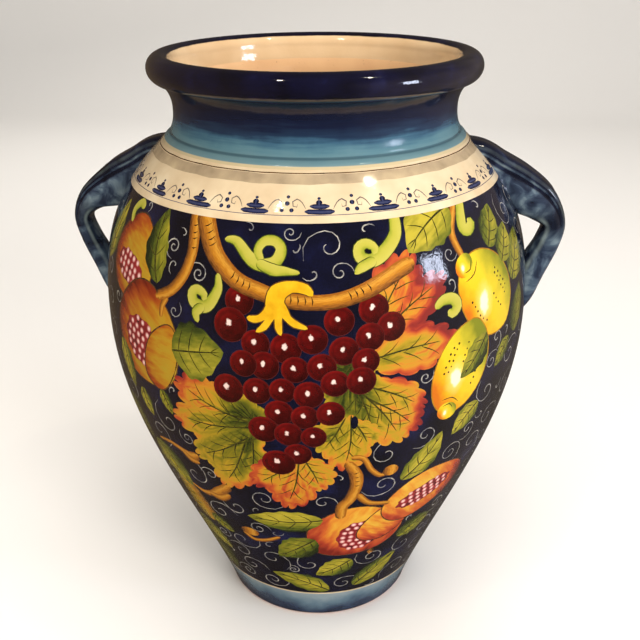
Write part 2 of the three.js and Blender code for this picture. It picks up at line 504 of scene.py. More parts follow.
def lies_in(outline, places):
    """Which of the places lie inside an outline."""
    inside = np.zeros(len(places), bool)
    for (xa, ya), (xb, yb) in zip(outline, np.roll(outline, -1, 0)):
        crosses = (ya > places[:, 1]) != (yb > places[:, 1])
        rise = yb - ya if yb != ya else 1.0
        inside ^= crosses & (places[:, 0] < (xb - xa) * (places[:, 1] - ya) / rise + xa)
    return inside


def depth_in(outline, places):
    """How deep places lie inside an outline, counted below zero outside it."""
    runs = np.roll(outline, -1, 0) - outline
    away = places[:, None] - outline[None]
    share = np.clip((away * runs).sum(-1) / (runs**2).sum(-1), 0, 1)
    gap = np.linalg.norm(away - share[..., None] * runs, axis=-1).min(1)
    return np.where(lies_in(outline, places), gap, -gap)


LOBE_STEPS = 84
LOBE_TEETH = 7


def vine_leaf(heart, lobes, core):
    """A vine leaf: rounded, scalloped lobes that grow out of its heart and share one margin.
    Its own coordinates are the direction from the heart and the depth inside the margin."""

    def flat(angles, lengths):
        right = (angles - heart[0]) * radius_at(lengths) / MM
        return np.stack([right, (lengths - heart[1]) / MM], -1)

    outlines, edges, veins = [], [], []
    for start, tip, width, _ in lobes:
        middle, long, turn = laid(start, tip)
        edge = []
        for s in between(0, 2, LOBE_STEPS)[:-1]:
            side, s = (-1, s) if s <= 1 else (1, 2 - s)
            t = (1 - math.cos(math.pi * s)) / 2
            swell = max(0.0, math.sin(math.pi * t**1.35)) ** 0.62
            tooth = abs(math.sin(LOBE_TEETH * math.pi * s)) ** 0.8
            bump = 1 + 0.17 * min(1, s / 0.4) * tooth
            edge.append(((t - 0.5) * long * bump, side * width / 2 * swell * bump))
        outline = drawn(middle, edge, turn)
        outlines.append(outline)
        edges.append(flat(*np.array(outline).T))
        rib = [(-0.5 * long, 0), (0, 0.03 * long), (0.36 * long, 0)]
        veins.append((drawn(middle, rib, turn), 1.6))
        for t in (-0.24, -0.04, 0.14):
            for side in (-1, 1):
                t += hand.uniform(-0.03, 0.03)
                vein = [(t * long, 0.01 * long), ((t + 0.12) * long, 0.15 * side * width),
                        ((t + 0.19) * long, 0.3 * side * width)]
                veins.append((drawn(middle, vein, turn), 1.0))
    tips = sum(edge[len(edge) // 2] for edge in edges)
    forward = math.atan2(tips[1], tips[0])
    tones = np.array([lobe[3] for lobe in lobes])

    def own(angles, lengths):
        places = flat(angles, lengths)
        flat_places = places.reshape(-1, 2)
        depths = np.array([depth_in(edge, flat_places) for edge in edges])
        weights = np.exp(depths / 5)
        tone = (weights * tones[:, None]).sum(0) / weights.sum(0)
        far = np.linalg.norm(flat_places, axis=1)
        tone += 0.16 * np.clip((far - 48) / 30, 0, 1) - core * np.exp(-((far / 26) ** 2))
        heading = np.arctan2(flat_places[:, 1], flat_places[:, 0]) - forward
        heading = (heading + math.pi) % FULL_TURN - math.pi
        return [a.reshape(angles.shape) for a in (heading, depths.max(0) / 10, tone)]

    mood = (hand.random(), 0.5)
    for outline in outlines:
        painting.append(([outline], "vine_leaf", own, mood, True))
    for path, width in veins:
        stroke(path, [width, 0.75 * width, 0.35 * width], "leaf_vein")


# How far off a lemon's axis each row of pores runs, and from where to where along it
PORE_ROWS = [(0.6, -0.35, 0.3), (-0.1, -0.55, -0.15), (-0.5, -0.5, 0.1), (-0.64, -0.4, 0.15)]


def lemon(place, long, wide, turn, shade=0.5):
    """A lemon lying along a direction, with a round knob at its far end and rows of dark pores."""
    outline = []
    for a in between(0, FULL_TURN, 44)[:-1]:
        stem = abs(a - math.pi)
        grow = 1 + 0.05 * math.exp(-((stem / 0.3) ** 2))
        outline.append((long / 2 * math.cos(a) * grow, wide / 2 * math.sin(a) * grow))
    size = (long + wide) / 4
    shape(place, outline, "lemon", turn, (size, size), shade, level=True)
    edge = drawn(place, outline, turn)
    stroke(edge + edge[:1], [1.0], "ochre_line", step=20)
    knob = drawn(place, [(0.47 * long, 0.02 * wide)], turn)[0]
    knob_half = (0.12 * long, 0.13 * long)
    shape(knob, circle(0.105 * long, 16, 1.25), "lemon", turn, knob_half, shade, level=True)
    for reach, spread in ((0.36, 0.17), (0.43, 0.1)):
        ends, middle = reach * long, (reach - 0.045) * long
        ridge = [(ends, -spread * wide), (middle, 0), (ends, spread * wide)]
        stroke(drawn(place, ridge, turn), [0.4, 1.0, 0.4], "pore")
    for row, first, last in PORE_ROWS:
        for t in between(first, last, round((last - first) * 8)):
            x = long / 2 * t
            y = wide / 2 * row * math.sqrt(1 - t * t) + hand.uniform(-0.8, 0.8)
            dot = drawn(place, [(x, y)], turn)[0]
            shape(dot, circle(hand.uniform(0.75, 1.1), 8), "pore", covers=False)


def rind(place, wide, high, turn, lit, shade):
    """A patch of pomegranate rind, yellow towards one side, with a dark line round it."""
    cos, sin = math.cos(turn - lit), math.sin(turn - lit)
    outline = []
    for a in between(0, FULL_TURN, 40)[:-1]:
        lump = 1 + 0.035 * math.sin(3 * a + 5 * shade) + 0.015 * math.sin(5 * a)
        x, y = wide / 2 * math.cos(a) * lump, high / 2 * math.sin(a) * lump
        outline.append((x * cos - y * sin, x * sin + y * cos))
    size = max(wide, high) / 2
    shape(place, outline, "pomegranate", lit, (size, size), shade)
    edge = drawn(place, outline, lit)
    stroke(edge + edge[:1], [1.1], "brown_line", step=20)


SEED_GAP_UP = 6.2
SEED_GAP_ACROSS = 6.6
SEED_HALF = (2.4, 2.7)


def pomegranate(place, size, turn, lit, bed, bed_size, bed_turn=0.0, flaps=(), shade=0.5):
    """A pomegranate split open on its seeds, with flaps of rind that fold over the split."""
    rind(place, *size, turn, lit, shade)
    wide, high = bed_size
    edge = []
    for i in range(40):
        a = FULL_TURN * i / 40
        reach = 0.5 * (1.04 if i % 4 < 2 else 0.97)
        edge.append((wide * reach * math.cos(a), high * reach * math.sin(a)))
    shape(bed, edge, "seed_bed", bed_turn, (wide / 2, high / 2), covers=False)
    rows = max(2, round(high / SEED_GAP_UP))
    for row in range(rows):
        y = high * ((row + 0.5) / rows - 0.5)
        room = wide * 0.92 * math.sqrt(max(0.05, 1 - (2 * y / high) ** 2))
        count = max(1, round(room / SEED_GAP_ACROSS))
        for k in range(count):
            x = room * ((k + 0.5) / count - 0.5) + hand.uniform(-0.5, 0.5)
            seed = drawn(bed, [(x, y + hand.uniform(-0.5, 0.5))], bed_turn)[0]
            outline = circle(hand.uniform(2.2, 2.6), 10, 1.12)
            shape(seed, outline, "seed", bed_turn, SEED_HALF, covers=False)
    for right, up, wide, high, lean, side in flaps:
        rind(drawn(place, [(right, up)])[0], wide, high, lean, side, shade)


def bark(path, width):
    """Groups of short dark strokes across a branch."""
    curve = smoothed(path, 5.0)
    for start in range(3, len(curve) - 6, 9):
        for k in range(4):
            angle, length, _ = curve[min(start + k, len(curve) - 2)]
            after = curve[min(start + k + 1, len(curve) - 1)]
            direction = math.atan2(after[1] - length, (after[0] - angle) * radius_at(length))
            tick = [(0, 0.36 * width), (0.9, 0.05 * width), (0.4, -0.2 * width)]
            stroke(drawn((angle, length), tick, direction), [0.6, 1.1, 0.5], "bark_line")


# A place is in degrees right of the front and millimetres above the floor. Each grape has
# its radius too.
GRAPES = [
    (-13, 352, 11), (-15, 334, 13), (-9, 322, 10.7), (-2, 320, 11.5), (4, 327, 11),
    (10, 340, 11), (18, 347, 11.2), (22, 333, 11), (17, 327, 10.7), (11, 318, 11),
    (16, 309, 10.3), (-7, 306, 11), (0, 304, 10.3), (6, 306, 10.8), (-12, 306, 10.5),
    (-16, 284, 12), (-9, 285, 10.8), (-3, 287, 10), (3, 284, 11.2), (9, 293, 10.6),
    (15, 294, 11.2), (-4, 268, 11), (2, 265, 10.4), (8, 268, 10.7), (-8, 252, 12),
    (-2, 249, 11), (4, 247, 9.8), (0, 230, 10.7), (-5, 220, 13.2),
]
# The branch that the bunch hangs from, the tendrils and the twigs, with the brush's widths
BRANCH = [
    (-27, 407), (-22, 386), (-19, 376), (-14, 365), (-8, 359), (-2.7, 354.6),
    (3.8, 353), (9.6, 354), (15.5, 358.6), (20.6, 365), (25, 371), (29, 375),
]
TENDRILS = [
    ([(-18.5, 390.3), (-15.2, 389.9), (-11.2, 380.3), (-8, 376.5), (-4.9, 378.9), (-3.6, 386.4),
      (-5.1, 391.6), (-7.9, 391.4), (-9.4, 385.6), (-8.2, 379)], [3, 7, 9, 9, 8, 7, 7, 6, 5]),
    ([(-9.4, 378.2), (-5.5, 374), (-2.4, 373.4), (1.1, 372.4)], [6, 8, 6, 2]),
    ([(-19, 368.1), (-18.5, 358.3), (-20.4, 347), (-22.4, 343.5), (-24.8, 345.8), (-25.4, 352.1),
      (-24, 355), (-22.1, 352.3), (-22.4, 348.2)], [3, 7, 9, 9, 8, 7, 6, 5]),
    ([(-22, 344.4), (-24.1, 338.6), (-23.5, 331.5)], [7, 7, 3]),
    ([(-54.5, 384), (-55.9, 392), (-53.5, 398.2), (-50.9, 395.6)], [4, 7, 7, 5]),
    ([(26.2, 407), (25.4, 394), (22, 384), (18.3, 378.6), (15.7, 381.4), (15.5, 387.2),
      (17.4, 389.6), (19.4, 386.4), (18.8, 382.6)], [7, 9, 10, 9, 8, 7, 6, 4]),
    ([(19.3, 379), (15.8, 375), (14, 370.9)], [7, 7, 2]),
    ([(49.6, 407), (47.2, 395.7), (46.4, 388.6), (48.2, 386.4), (50.2, 390), (49.2, 393)],
     [7, 9, 9, 8, 6]),
    ([(33.5, 340), (35.8, 344.6), (38.7, 343.9), (40, 338), (38.3, 333.6), (37.2, 336.6)],
     [5, 8, 9, 8, 6]),
]
# Each single leaf's base, tip and width
LEAVES = [
    ((43.5, 405), (27.6, 380.8), 38), ((54.1, 370.3), (61, 397), 26),
    ((63.4, 338), (72, 372), 34), ((59, 356), (65.4, 381), 26), ((65.4, 292), (69.4, 330), 30),
    ((62.3, 292), (55.6, 272.4), 18), ((50.6, 248), (42.6, 224.4), 24),
    ((29, 190), (38.7, 233), 27), ((-37, 351), (-39.2, 402), 25),
    ((-46.4, 256), (-44.4, 230), 16), ((-37.3, 264.7), (-34.7, 244), 13),
    ((4.1, 124), (-10.6, 94.4), 32), ((6.5, 152), (-18.3, 148), 30), ((18.6, 90), (4, 68), 28),
    ((9.5, 41), (-17.2, 65.2), 26), ((23, 44), (40, 84), 27), ((35.8, 109.4), (50, 124), 28),
    ((-36.2, 130), (-28.4, 112.8), 18), ((-50, 200), (-39, 160), 36),
    ((-50, 112), (-36, 80), 32), ((-52, 88), (-43, 42), 30), ((-60, 236), (-52, 196), 30),
    ((-54, 292), (-51, 250), 22), ((-68, 346), (-62, 396), 26),
]
POD = [(-43, 170), (-41.4, 150), (-39.4, 128), (-38.1, 117)]
LIMB = [(-29.5, 407), (-27.6, 388), (-27.2, 377), (-28.5, 363), (-31.9, 350), (-37, 342)]
STALK = [(12.2, 221), (14.7, 208), (15.4, 194), (14.1, 178.5), (11.9, 169), (11.8, 153)]
TWIGS = [
    ([(-33, 345), (-34.6, 336), (-35, 327)], [6, 5, 3]),
    ([(47, 407), (42.7, 393), (42, 383.5), (43.6, 370)], [7, 7, 6]),
    ([(16, 183), (20, 170), (27, 165)], [7, 6, 5]),
    ([(13.3, 225), (16.5, 222.8), (19.1, 209.3), (21.9, 201.8), (24.2, 204.6)], [6, 5, 5, 4]),
    ([(-46, 206), (-40, 208.6), (-35, 206), (-32, 204), (-29.4, 208)], [3, 5, 7, 11, 9]),
    ([(-35.6, 206), (-33, 199.6), (-29.8, 199.4)], [6, 7, 5]),
    ([(-38.5, 165), (-34, 161), (-30, 163), (-26, 170), (-21.4, 182)], [3, 6, 8, 12, 8]),
    ([(-31, 163), (-26.4, 162), (-22.4, 170)], [7, 9, 5]),
    ([(-23, 121), (-19.4, 113.4), (-14, 116.4), (-8.6, 124.5)], [4, 5, 5, 4]),
]
# Each leaf's heart, how green it is there, and its lobes: start, tip, width and tone from
# green at 0 through yellow at a half to red at 1
VINE_LEAVES = [
    ((13, 300), 0.22, [
        ((17, 324), (27.6, 378), 38, 0.56), ((18, 326), (35.8, 361), 28, 0.66),
        ((17.5, 325), (21.5, 360), 18, 0.46), ((14, 308), (38, 316), 34, 0.5),
        ((14, 292), (30.6, 266), 28, 0.48), ((16, 280), (29.8, 247), 34, 0.5),
        ((14, 288), (26, 239), 40, 0.42), ((14, 288), (18.8, 241), 32, 0.34),
        ((12, 322), (14, 258), 40, 0.18),
    ]),
    ((12.5, 262), 0.16, [
        ((12.8, 266), (12, 215), 34, 0.54), ((11.5, 264), (6, 233), 32, 0.42),
        ((13, 262), (17.6, 236), 24, 0.48),
    ]),
    ((-10, 258), 0.18, [
        ((-11, 256), (-30.4, 278), 36, 0.6), ((-11, 252), (-32.8, 246), 34, 0.42),
        ((-12, 242), (-28, 211), 34, 0.28), ((-13, 236), (-21.8, 185), 34, 0.34),
        ((-11, 240), (-13, 202), 32, 0.26), ((-6, 262), (-22, 262), 44, 0.2),
        ((-8, 246), (-20, 228), 40, 0.24),
    ]),
    ((0, 222), 0.1, [
        ((0.5, 228), (-11.8, 193), 30, 0.54), ((0.5, 228), (-3.6, 171), 36, 0.68),
        ((0.5, 230), (5.8, 193), 32, 0.56),
    ]),
]
# The strokes that knot the vine's yellow tie, and their widths: four fingers, then the loop
KNOT = [
    ([(-4.8, 352), (-6.4, 345), (-8, 341), (-9.4, 340), (-11, 340.8)], [9, 6, 5, 5, 3]),
    ([(-4.6, 353), (-5, 346), (-5.9, 340), (-7, 335), (-8.8, 331)], [10, 7, 5, 5, 2]),
    ([(-4.4, 353), (-3.8, 346), (-3.7, 340), (-3.6, 335), (-3.1, 329.6)], [10, 7, 5, 5, 2]),
    ([(-4.2, 353), (-2.6, 347), (-1.5, 342), (0.2, 338), (2.9, 335)], [10, 7, 5, 5, 2]),
    ([(-4.3, 344), (-4.6, 351), (-3.9, 359), (-0.8, 363.4), (2.4, 362), (4.1, 357.6)],
     [9, 13, 13, 8, 7, 3]),
]


def fruit_garland(side):
    """One face of the jar: vine, lemons and pomegranates round a hanging bunch of grapes."""

    def at(azimuth, height):
        return spot(azimuth + side, height)

    def along(path):
        return [at(*p) for p in path]

    # The two pomegranates on the left take a shade of 0.7, which darkens their rind with painted
    # shade.
    pomegranate(at(-49.3, 361), (62, 68), 0.0, -0.3, at(-49.9, 353), (44, 24), -0.28, shade=0.7)
    pomegranate(at(-42, 306), (80, 86), 0.0, -0.6, at(-43.6, 300), (44, 40), -0.3,
                flaps=((19, -13, 34, 62, -0.42, 0.0),), shade=0.7)
    pomegranate(at(17.6, 131), (84, 74), 0.0, 1.2, at(18.8, 125.5), (36, 44),
                flaps=((25, 9, 40, 58, -0.5, 2.5),), shade=0.45)
    pomegranate(at(39.6, 165), (82, 58), 0.36, 2.3, at(39.8, 164.6), (54, 23), 0.34, shade=0.48)
    for heart, core, lobes in VINE_LEAVES:
        placed = [(at(*start), at(*tip), width, tone) for start, tip, width, tone in lobes]
        vine_leaf(at(*heart), placed, core)
    shape(at(13.6, 259), circle(3, 10, 2.0), "ground", covers=False)
    stroke(along(POD), [22, 28, 30, 24], "pod", covers=True, step=2.5)
    for path, widths in TWIGS:
        stroke(along(path), widths, "branch", covers=True, step=2.5)
    stroke(along(LIMB), [10, 9, 9, 8], "branch", covers=True)
    bark(along(LIMB), 8)
    stroke(along(STALK), [8, 11, 10, 11, 8], "branch", covers=True)
    bark(along(STALK), 8)
    for azimuth, height, radius in GRAPES:
        shape(at(azimuth, height), circle(radius), "grape", half=(radius, radius))
    stroke(along(BRANCH), [15, 14, 13, 12, 11, 11, 12, 12, 12], "branch", covers=True)
    bark(along(BRANCH), 12)
    lemon(at(51.6, 338.5), 76, 60, math.radians(130), shade=0.5)
    lemon(at(42.2, 286), 76, 56, math.radians(250), shade=0.5)
    for base, tip, width in LEAVES:
        leaf(at(*base), at(*tip), width, bend=hand.uniform(-0.08, 0.08), shade=hand.random())
    leaf(at(-31.6, 304), at(-16.8, 312), 46, 0.0, 0.4)
    leaf(at(50.5, 308), at(41.6, 278), 24, 0.05, 0.2)
    for turn in between(0.6, 2.6, 4):
        crown = drawn(at(24.5, 97), [(0, 0), (6 * math.cos(turn - 1.6), 6 * math.sin(turn - 1.6))])
        stroke(crown, [3.4, 1.0], "branch")
    for path, widths in TENDRILS:
        stroke(along(path), [w + 1.2 for w in widths], "tendril_edge", step=2)
        stroke(along(path), widths, "tendril", covers=True, step=2)
    for bud, wide, high in (((24.6, 205.5), 13, 12), ((-20, 124), 17, 12)):
        shape(at(*bud), circle(wide / 2, 16, high / wide), "branch", 0.0, (wide / 2, high / 2))
    for grow, paint in ((1.6, "brown_line"), (0.0, "ribbon")):
        for path, widths in KNOT:
            stroke(along(path), [w + grow for w in widths], paint, covers=True, step=2)


GROUND_LOW = 37
GROUND_TOP = 402.5
SCROLL_SIZES = [13, 11.5, 10, 8.5, 7, 5.5, 4.4, 3.2]
SCROLL_TRIES = 1700
SCROLL_GAP = 1.2
LARGE_SCROLL = 6
MAP_STEP = 1.0
MAP_COLUMNS = 900


def covered_map():
    """Marks the parts of the unrolled belly, cell by cell, that motifs already cover."""
    rows = int(wall_length / MM / MAP_STEP) + 1
    taken = np.zeros((rows, MAP_COLUMNS), bool)
    for outlines, _, _, _, covers in painting:
        if not covers:
            continue
        for outline in outlines:
            angles = np.array([p[0] for p in outline])
            lengths = np.array([p[1] for p in outline]) / MM / MAP_STEP
            columns = (angles - SEAM) / FULL_TURN * MAP_COLUMNS
            c0, c1 = int(columns.min()), int(columns.max()) + 1
            r0, r1 = max(0, int(lengths.min())), min(rows, int(lengths.max()) + 2)
            cells = np.meshgrid(np.arange(c0, c1 + 1) + 0.5, np.arange(r0, r1) + 0.5)
            middles = np.stack([axis.ravel() for axis in cells], -1)
            inside = lies_in(np.stack([columns, lengths], -1), middles)
            here = np.arange(c0, c1 + 1) % MAP_COLUMNS
            taken[r0:r1, here] |= inside.reshape(cells[0].shape)
    return taken


def scroll_path(size, turns, start, way):
    """A curl that winds outwards from its eye and runs off in a tail."""
    path = []
    steps = max(10, round(turns * 13))
    for i in range(steps + 4):
        t = i / steps
        r = size * (0.14 + 0.8 * t**1.2 + 1.6 * max(0.0, t - 1))
        path.append((r * math.cos(start + way * turns * FULL_TURN * t),
                     r * math.sin(start + way * turns * FULL_TURN * t)))
    return path


def white_scrolls():
    """Fills the ground that the fruit leaves free with curls, the largest first."""
    taken = covered_map()
    low, high = spot(0, GROUND_LOW)[1], spot(0, GROUND_TOP)[1]
    for size in SCROLL_SIZES:
        for _ in range(SCROLL_TRIES):
            length = hand.uniform(low + size * MM, high - size * MM)
            if hand.random() > radius_at(length) / belly_widest.x:
                continue
            angle = hand.uniform(SEAM, SEAM + FULL_TURN)
            cell = FULL_TURN * float(radius_at(length)) / MAP_COLUMNS / MM
            reach = size + SCROLL_GAP
            c = (angle - SEAM) / FULL_TURN * MAP_COLUMNS
            r = length / MM / MAP_STEP
            columns = np.arange(int(c - reach / cell), int(c + reach / cell) + 2)
            rows = np.arange(max(0, int(r - reach)), min(taken.shape[0], int(r + reach) + 2))
            cols, rws = np.meshgrid(columns, rows)
            disc = np.hypot((cols + 0.5 - c) * cell, (rws + 0.5 - r) * MAP_STEP) <= reach
            window = taken[rws, cols % MAP_COLUMNS]
            allowed = 0.13 if size > LARGE_SCROLL else 0.03
            if (window & disc).sum() > allowed * disc.sum():
                continue
            taken[rws, cols % MAP_COLUMNS] |= disc
            turns = hand.uniform(0.95, 1.5) if size > 5 else hand.uniform(0.45, 0.8)
            curl = scroll_path(size, turns, hand.uniform(0, FULL_TURN), hand.choice((-1, 1)))
            wide = hand.uniform(0.7, 1.05)
            stroke(drawn((angle, length), curl), [0.7 * wide, wide, wide, 0.6 * wide],
                   "scroll_white", step=50, plain=True)


def band(low, high, paint, low_tilt=0.0, high_tilt=0.0, ragged=0.0):
    """A band of colour right round the belly, its edges tilted as the brush went round."""

    def edge(height, tilt, angle):
        wander = math.sin(23 * angle + height) + 0.7 * math.sin(41 * angle + 2 * height)
        return spot(0, height)[1] + (tilt * math.sin(angle) + ragged * wander) * MM

    angles = between(SEAM, SEAM + FULL_TURN, 120)
    outline = [(a, edge(low, low_tilt, a)) for a in angles]
    outline += [(a, edge(high, high_tilt, a)) for a in reversed(angles)]
    painting.append(([outline], paint, None, (0.5, 0.5), True))


BORDER_REPEATS = 20
BORDER_START = 6.0
BORDER_BASE = 407.6
BORDER_TILT = 1.6
BORDER_CURL = [
    (9.5, 4.0), (12, 9), (15.5, 11.6), (18.6, 9.6), (18.4, 6.2), (15.8, 5.6), (15.2, 8.0),
]


def shoulder_border():
    """Stacked blue strokes with a bud on top, and thin curls and blue dots between them."""
    band(GROUND_TOP, 407, "cream", low_tilt=BORDER_TILT, high_tilt=BORDER_TILT)
    band(407, 433.2, "cream", low_tilt=BORDER_TILT)
    band(407, 407.4, "border_blue", low_tilt=BORDER_TILT, high_tilt=BORDER_TILT, ragged=0.05)
    # The grey band just under the neck is painted shade where the shoulder meets the neck.
    band(425, 430.6, "warm_grey", low_tilt=1.0, high_tilt=0.6, ragged=0.3)
    band(430.9, 431.5, "brown_line", low_tilt=0.5, high_tilt=0.5, ragged=0.1)
    step = 360 / BORDER_REPEATS

    def on_border(azimuth):
        angle, length = spot(azimuth, BORDER_BASE)
        return angle, length + BORDER_TILT * math.sin(angle) * MM

    for k in range(BORDER_REPEATS):
        base = on_border(BORDER_START + k * step)
        for wide, y in ((22, 2.0), (13.5, 6.0)):
            wide *= hand.uniform(0.93, 1.07)
            line = [(-wide / 2, y + 0.3), (0, y), (wide / 2, y + 0.3)]
            stroke(drawn(base, line), [3.4, 4.0, 3.8], "border_blue")
        for height, wide in ((9.0, 4.6), (12.2, 2.4)):
            bud = drawn(base, [(hand.uniform(-0.3, 0.3), height)])[0]
            shape(bud, circle(wide / 2, 10, 0.9), "border_blue", covers=False)
        middle = on_border(BORDER_START + (k + 0.5) * step)
        for x, y, size in ((-3.2, 3.4, 1.6), (3.2, 3.4, 1.6), (0, 8.4, 1.8), (0.3, 13.4, 1.3)):
            dot = drawn(middle, [(x + hand.uniform(-0.3, 0.3), y)])[0]
            shape(dot, circle(size, 9), "border_blue", covers=False)
        for way in (-1, 1):
            curl = drawn(base, [(way * x, y) for x, y in BORDER_CURL])
            stroke(curl, [0.5, 1.0, 0.8, 0.5], "curl_line", step=2.5)


def painted_skin():
    """Everything painted on the belly, from the bare glaze upwards."""
    fruit_garland(0)
    fruit_garland(180)
    fruit = list(painting)
    white_scrolls()
    scrolls = painting[len(fruit):]
    painting.clear()
    band(GROUND_LOW, GROUND_TOP + 1, "ground", low_tilt=-1.3, high_tilt=BORDER_TILT)
    painting.extend(scrolls)
    painting.extend(fruit)
    band(GROUND_LOW - 2.0, GROUND_LOW, "cream", low_tilt=-1.3, high_tilt=-1.3)
    shoulder_border()


# Name, roughness, scale and detail of the mottling, and the colours that it runs through
PLAIN_PAINTS = [
    ("ground", 0.09, 30, 4.0, (0.3, "#06070f"), (0.55, "#0b0d22"), (0.8, "#171c42")),
    ("scroll_white", 0.16, 200, 2.0, (0.3, "#5c5c62"), (0.5, "#8e8c86"), (0.75, "#c4bfb0")),
    ("bark_line", 0.1, 200, 2.0, (0.3, "#2a150a"), (0.8, "#4d2b12")),
    ("leaf_vein", 0.1, 200, 2.0, (0.3, "#2a2a0c"), (0.8, "#4c4718")),
    ("brown_line", 0.1, 250, 2.0, (0.3, "#3a2412"), (0.8, "#6a4522")),
    ("curl_line", 0.1, 250, 2.0, (0.3, "#4a4450"), (0.8, "#83765f")),
    ("ochre_line", 0.1, 250, 2.0, (0.3, "#8a5a10"), (0.8, "#b98a18")),
    ("pore", 0.1, 300, 2.0, (0.3, "#2c2408"), (0.8, "#5a4a10")),
    ("seed_bed", 0.1, 120, 3.0, (0.3, "#5c1218"), (0.7, "#98282c")),
    ("tendril_edge", 0.1, 200, 2.0, (0.3, "#232c0c"), (0.8, "#4a5618")),
    ("ribbon", 0.1, 110, 3.0, (0.3, "#cc9612"), (0.5, "#dcaa1a"), (0.75, "#e6ba28")),
    ("cream", 0.1, 35, 3.0, (0.3, "#cdb592"), (0.6, "#dcc8a6"), (0.85, "#e8dabc")),
    # The grey of the band under the neck is painted shade.
    ("warm_grey", 0.1, 60, 4.0, (0.3, "#9c8a70"), (0.55, "#b5a182"), (0.8, "#cbb692")),
]


def branch_brown(g):
    across, along = g.own()
    tone = across * 0.5 + g.streaks(along, across) * 0.6 + 0.25
    return g.steps(tone, (0.05, "#4a2c12"), (0.25, "#84501e"), (0.5, "#b4731c"),
                   (0.72, "#cc9232"), (0.95, "#945818"))


def pod_ochre(g):
    across, along = g.own()
    tone = across * 0.45 + g.streaks(along, across) * 0.5 + 0.3
    return g.steps(tone, (0.05, "#5c4a14"), (0.3, "#9a7c22"), (0.55, "#bd9430"),
                   (0.8, "#a87226"), (1.0, "#6c4a18"))


def leaf_green(g):
    """Yellow along the middle, darker towards the edges and on one side of the midrib."""
    along, across = g.own()
    tone = abs(across) ** 2.2 * 0.45 + abs(along) ** 3.0 * 0.2 + across * 0.24
    tone = tone + g.streaks(along, across, 3.0) * 0.7 - g.own("Hand")[1] * 0.3 + 0.05
    return g.steps(tone, (0.08, "#b4a434"), (0.28, "#8a8426"), (0.5, "#5e641c"),
                   (0.7, "#3a4416"), (0.95, "#1c250d"))


def grape_red(g):
    """A red wash with a darker ring, a brown edge and a dab of white left for the glint."""
    x, y = g.own()
    wash = x * 0.2 - y * 0.22 + g.mottle(150, 3.0) * 0.6 + 0.15
    skin = g.steps(wash, (0.1, "#740d0c"), (0.35, "#560808"), (0.6, "#3a0505"), (0.9, "#1c0203"))
    far = distance(x, y)
    ring = g.fade(far, 0.6, 0.7) * g.fade(far, 0.88, 0.78)
    skin = g.blend(ring * 0.35, skin, "#2a0405")
    skin = g.blend(g.fade(far, 0.92, 0.99), skin, "#521e1c")
    glint = distance(x + 0.1, (y - 0.12) * 0.8) + g.mottle(420) * 0.3 - 0.15
    return g.blend(g.fade(glint, 0.19, 0.1), skin, "#eccfc6")


def vine_leaf_turning(g):
    """Green at the heart, yellow further out and red in patches along the margin."""
    heading, depth = g.own()
    drawn_out = g.streaks(depth, heading, 4.0)
    margin = g.fade(depth + drawn_out * 1.4 - 0.7, 0.85, 0.05)
    margin = margin * (g.fade(g.mottle(19, 2.0), 0.4, 0.6) * 0.36 + 0.07)
    tone = g.own("Hand")[1] + margin + drawn_out * 0.9 - 0.45
    return g.steps(tone, (0.02, "#2c340e"), (0.16, "#585a18"), (0.32, "#82761a"),
                   (0.47, "#ae8e22"), (0.6, "#c48426"), (0.74, "#ba5426"), (0.9, "#983024"),
                   (1.0, "#7c2622"))


def lemon_yellow(g):
    """Orange at the lower left, green at the upper right and a pale light between."""
    x, y = g.own()
    lit = x * 0.44 + y * 0.32 + g.mottle(60, 3.0) * 0.4 + 0.3
    skin = g.steps(lit, (0.02, "#c86a10"), (0.16, "#dd960e"), (0.34, "#e8bc1c"),
                   (0.6, "#e0c026"), (0.76, "#b8aa24"), (0.94, "#787c1a"))
    glow = distance((x + 0.2) * 1.4, y + 0.16) + g.mottle(120) * 0.3 - 0.15
    skin = g.blend(g.fade(glow, 0.55, 0.2) * 0.6, skin, "#f0d078")
    return g.blend(g.fade(glow, 0.28, 0.14), skin, "#fff2c4")


def pomegranate_rind(g):
    """Yellow on the lit side, through orange to red round the edge; fruit with a high shade are
    dulled and darkened by painted shade.
    """
    x, y = g.own()
    shade = g.own("Hand")[1]
    away = (x * -0.4 + 0.5) * ((x * x + y * y) * 0.85 + 0.4)
    lit = away + g.streaks(x, y, 4.0) * 0.8 - shade * 0.7 + 0.09
    skin = g.steps(lit, (0.0, "#d6b844"), (0.24, "#dcac3c"), (0.4, "#d8902f"),
                   (0.56, "#c8622a"), (0.8, "#a23a24"), (1.0, "#742218"))
    # A shade above a half darkens and dulls the rind with painted shade, as on the left of the jar.
    painted_shade_tint = g.steps(shade, (0.5, "#ffffff"), (0.7, "#d2cea2"))
    return g.blend(1.0, skin, painted_shade_tint, "MULTIPLY")


def seed_pink(g):
    return g.steps(distance(*g.own()), (0.2, "#f4dad0"), (0.6, "#dc9c96"), (1.0, "#ac4a50"))


def tendril_green(g):
    tone = g.own()[0] * 0.36 + g.mottle(160, 3.0) * 0.4 + 0.38
    return g.steps(tone, (0.12, "#6c7a20"), (0.3, "#989c30"), (0.46, "#b0aa40"),
                   (0.95, "#bab250"))


def stroke_blue(g):
    tone = abs(g.own()[0]) + g.mottle(300) * 0.6 - 0.3
    return g.steps(tone, (0.05, "#3c4260"), (0.4, "#22284a"), (0.9, "#14172f"))


# Name, roughness and mixture of the paints that change within a stroke, a leaf or a fruit
MIXED_PAINTS = [
    ("branch", 0.1, branch_brown), ("pod", 0.1, pod_ochre), ("leaf", 0.1, leaf_green),
    ("grape", 0.08, grape_red), ("vine_leaf", 0.1, vine_leaf_turning),
    ("lemon", 0.08, lemon_yellow), ("pomegranate", 0.08, pomegranate_rind),
    ("seed", 0.1, seed_pink), ("tendril", 0.1, tendril_green), ("border_blue", 0.1, stroke_blue),
]


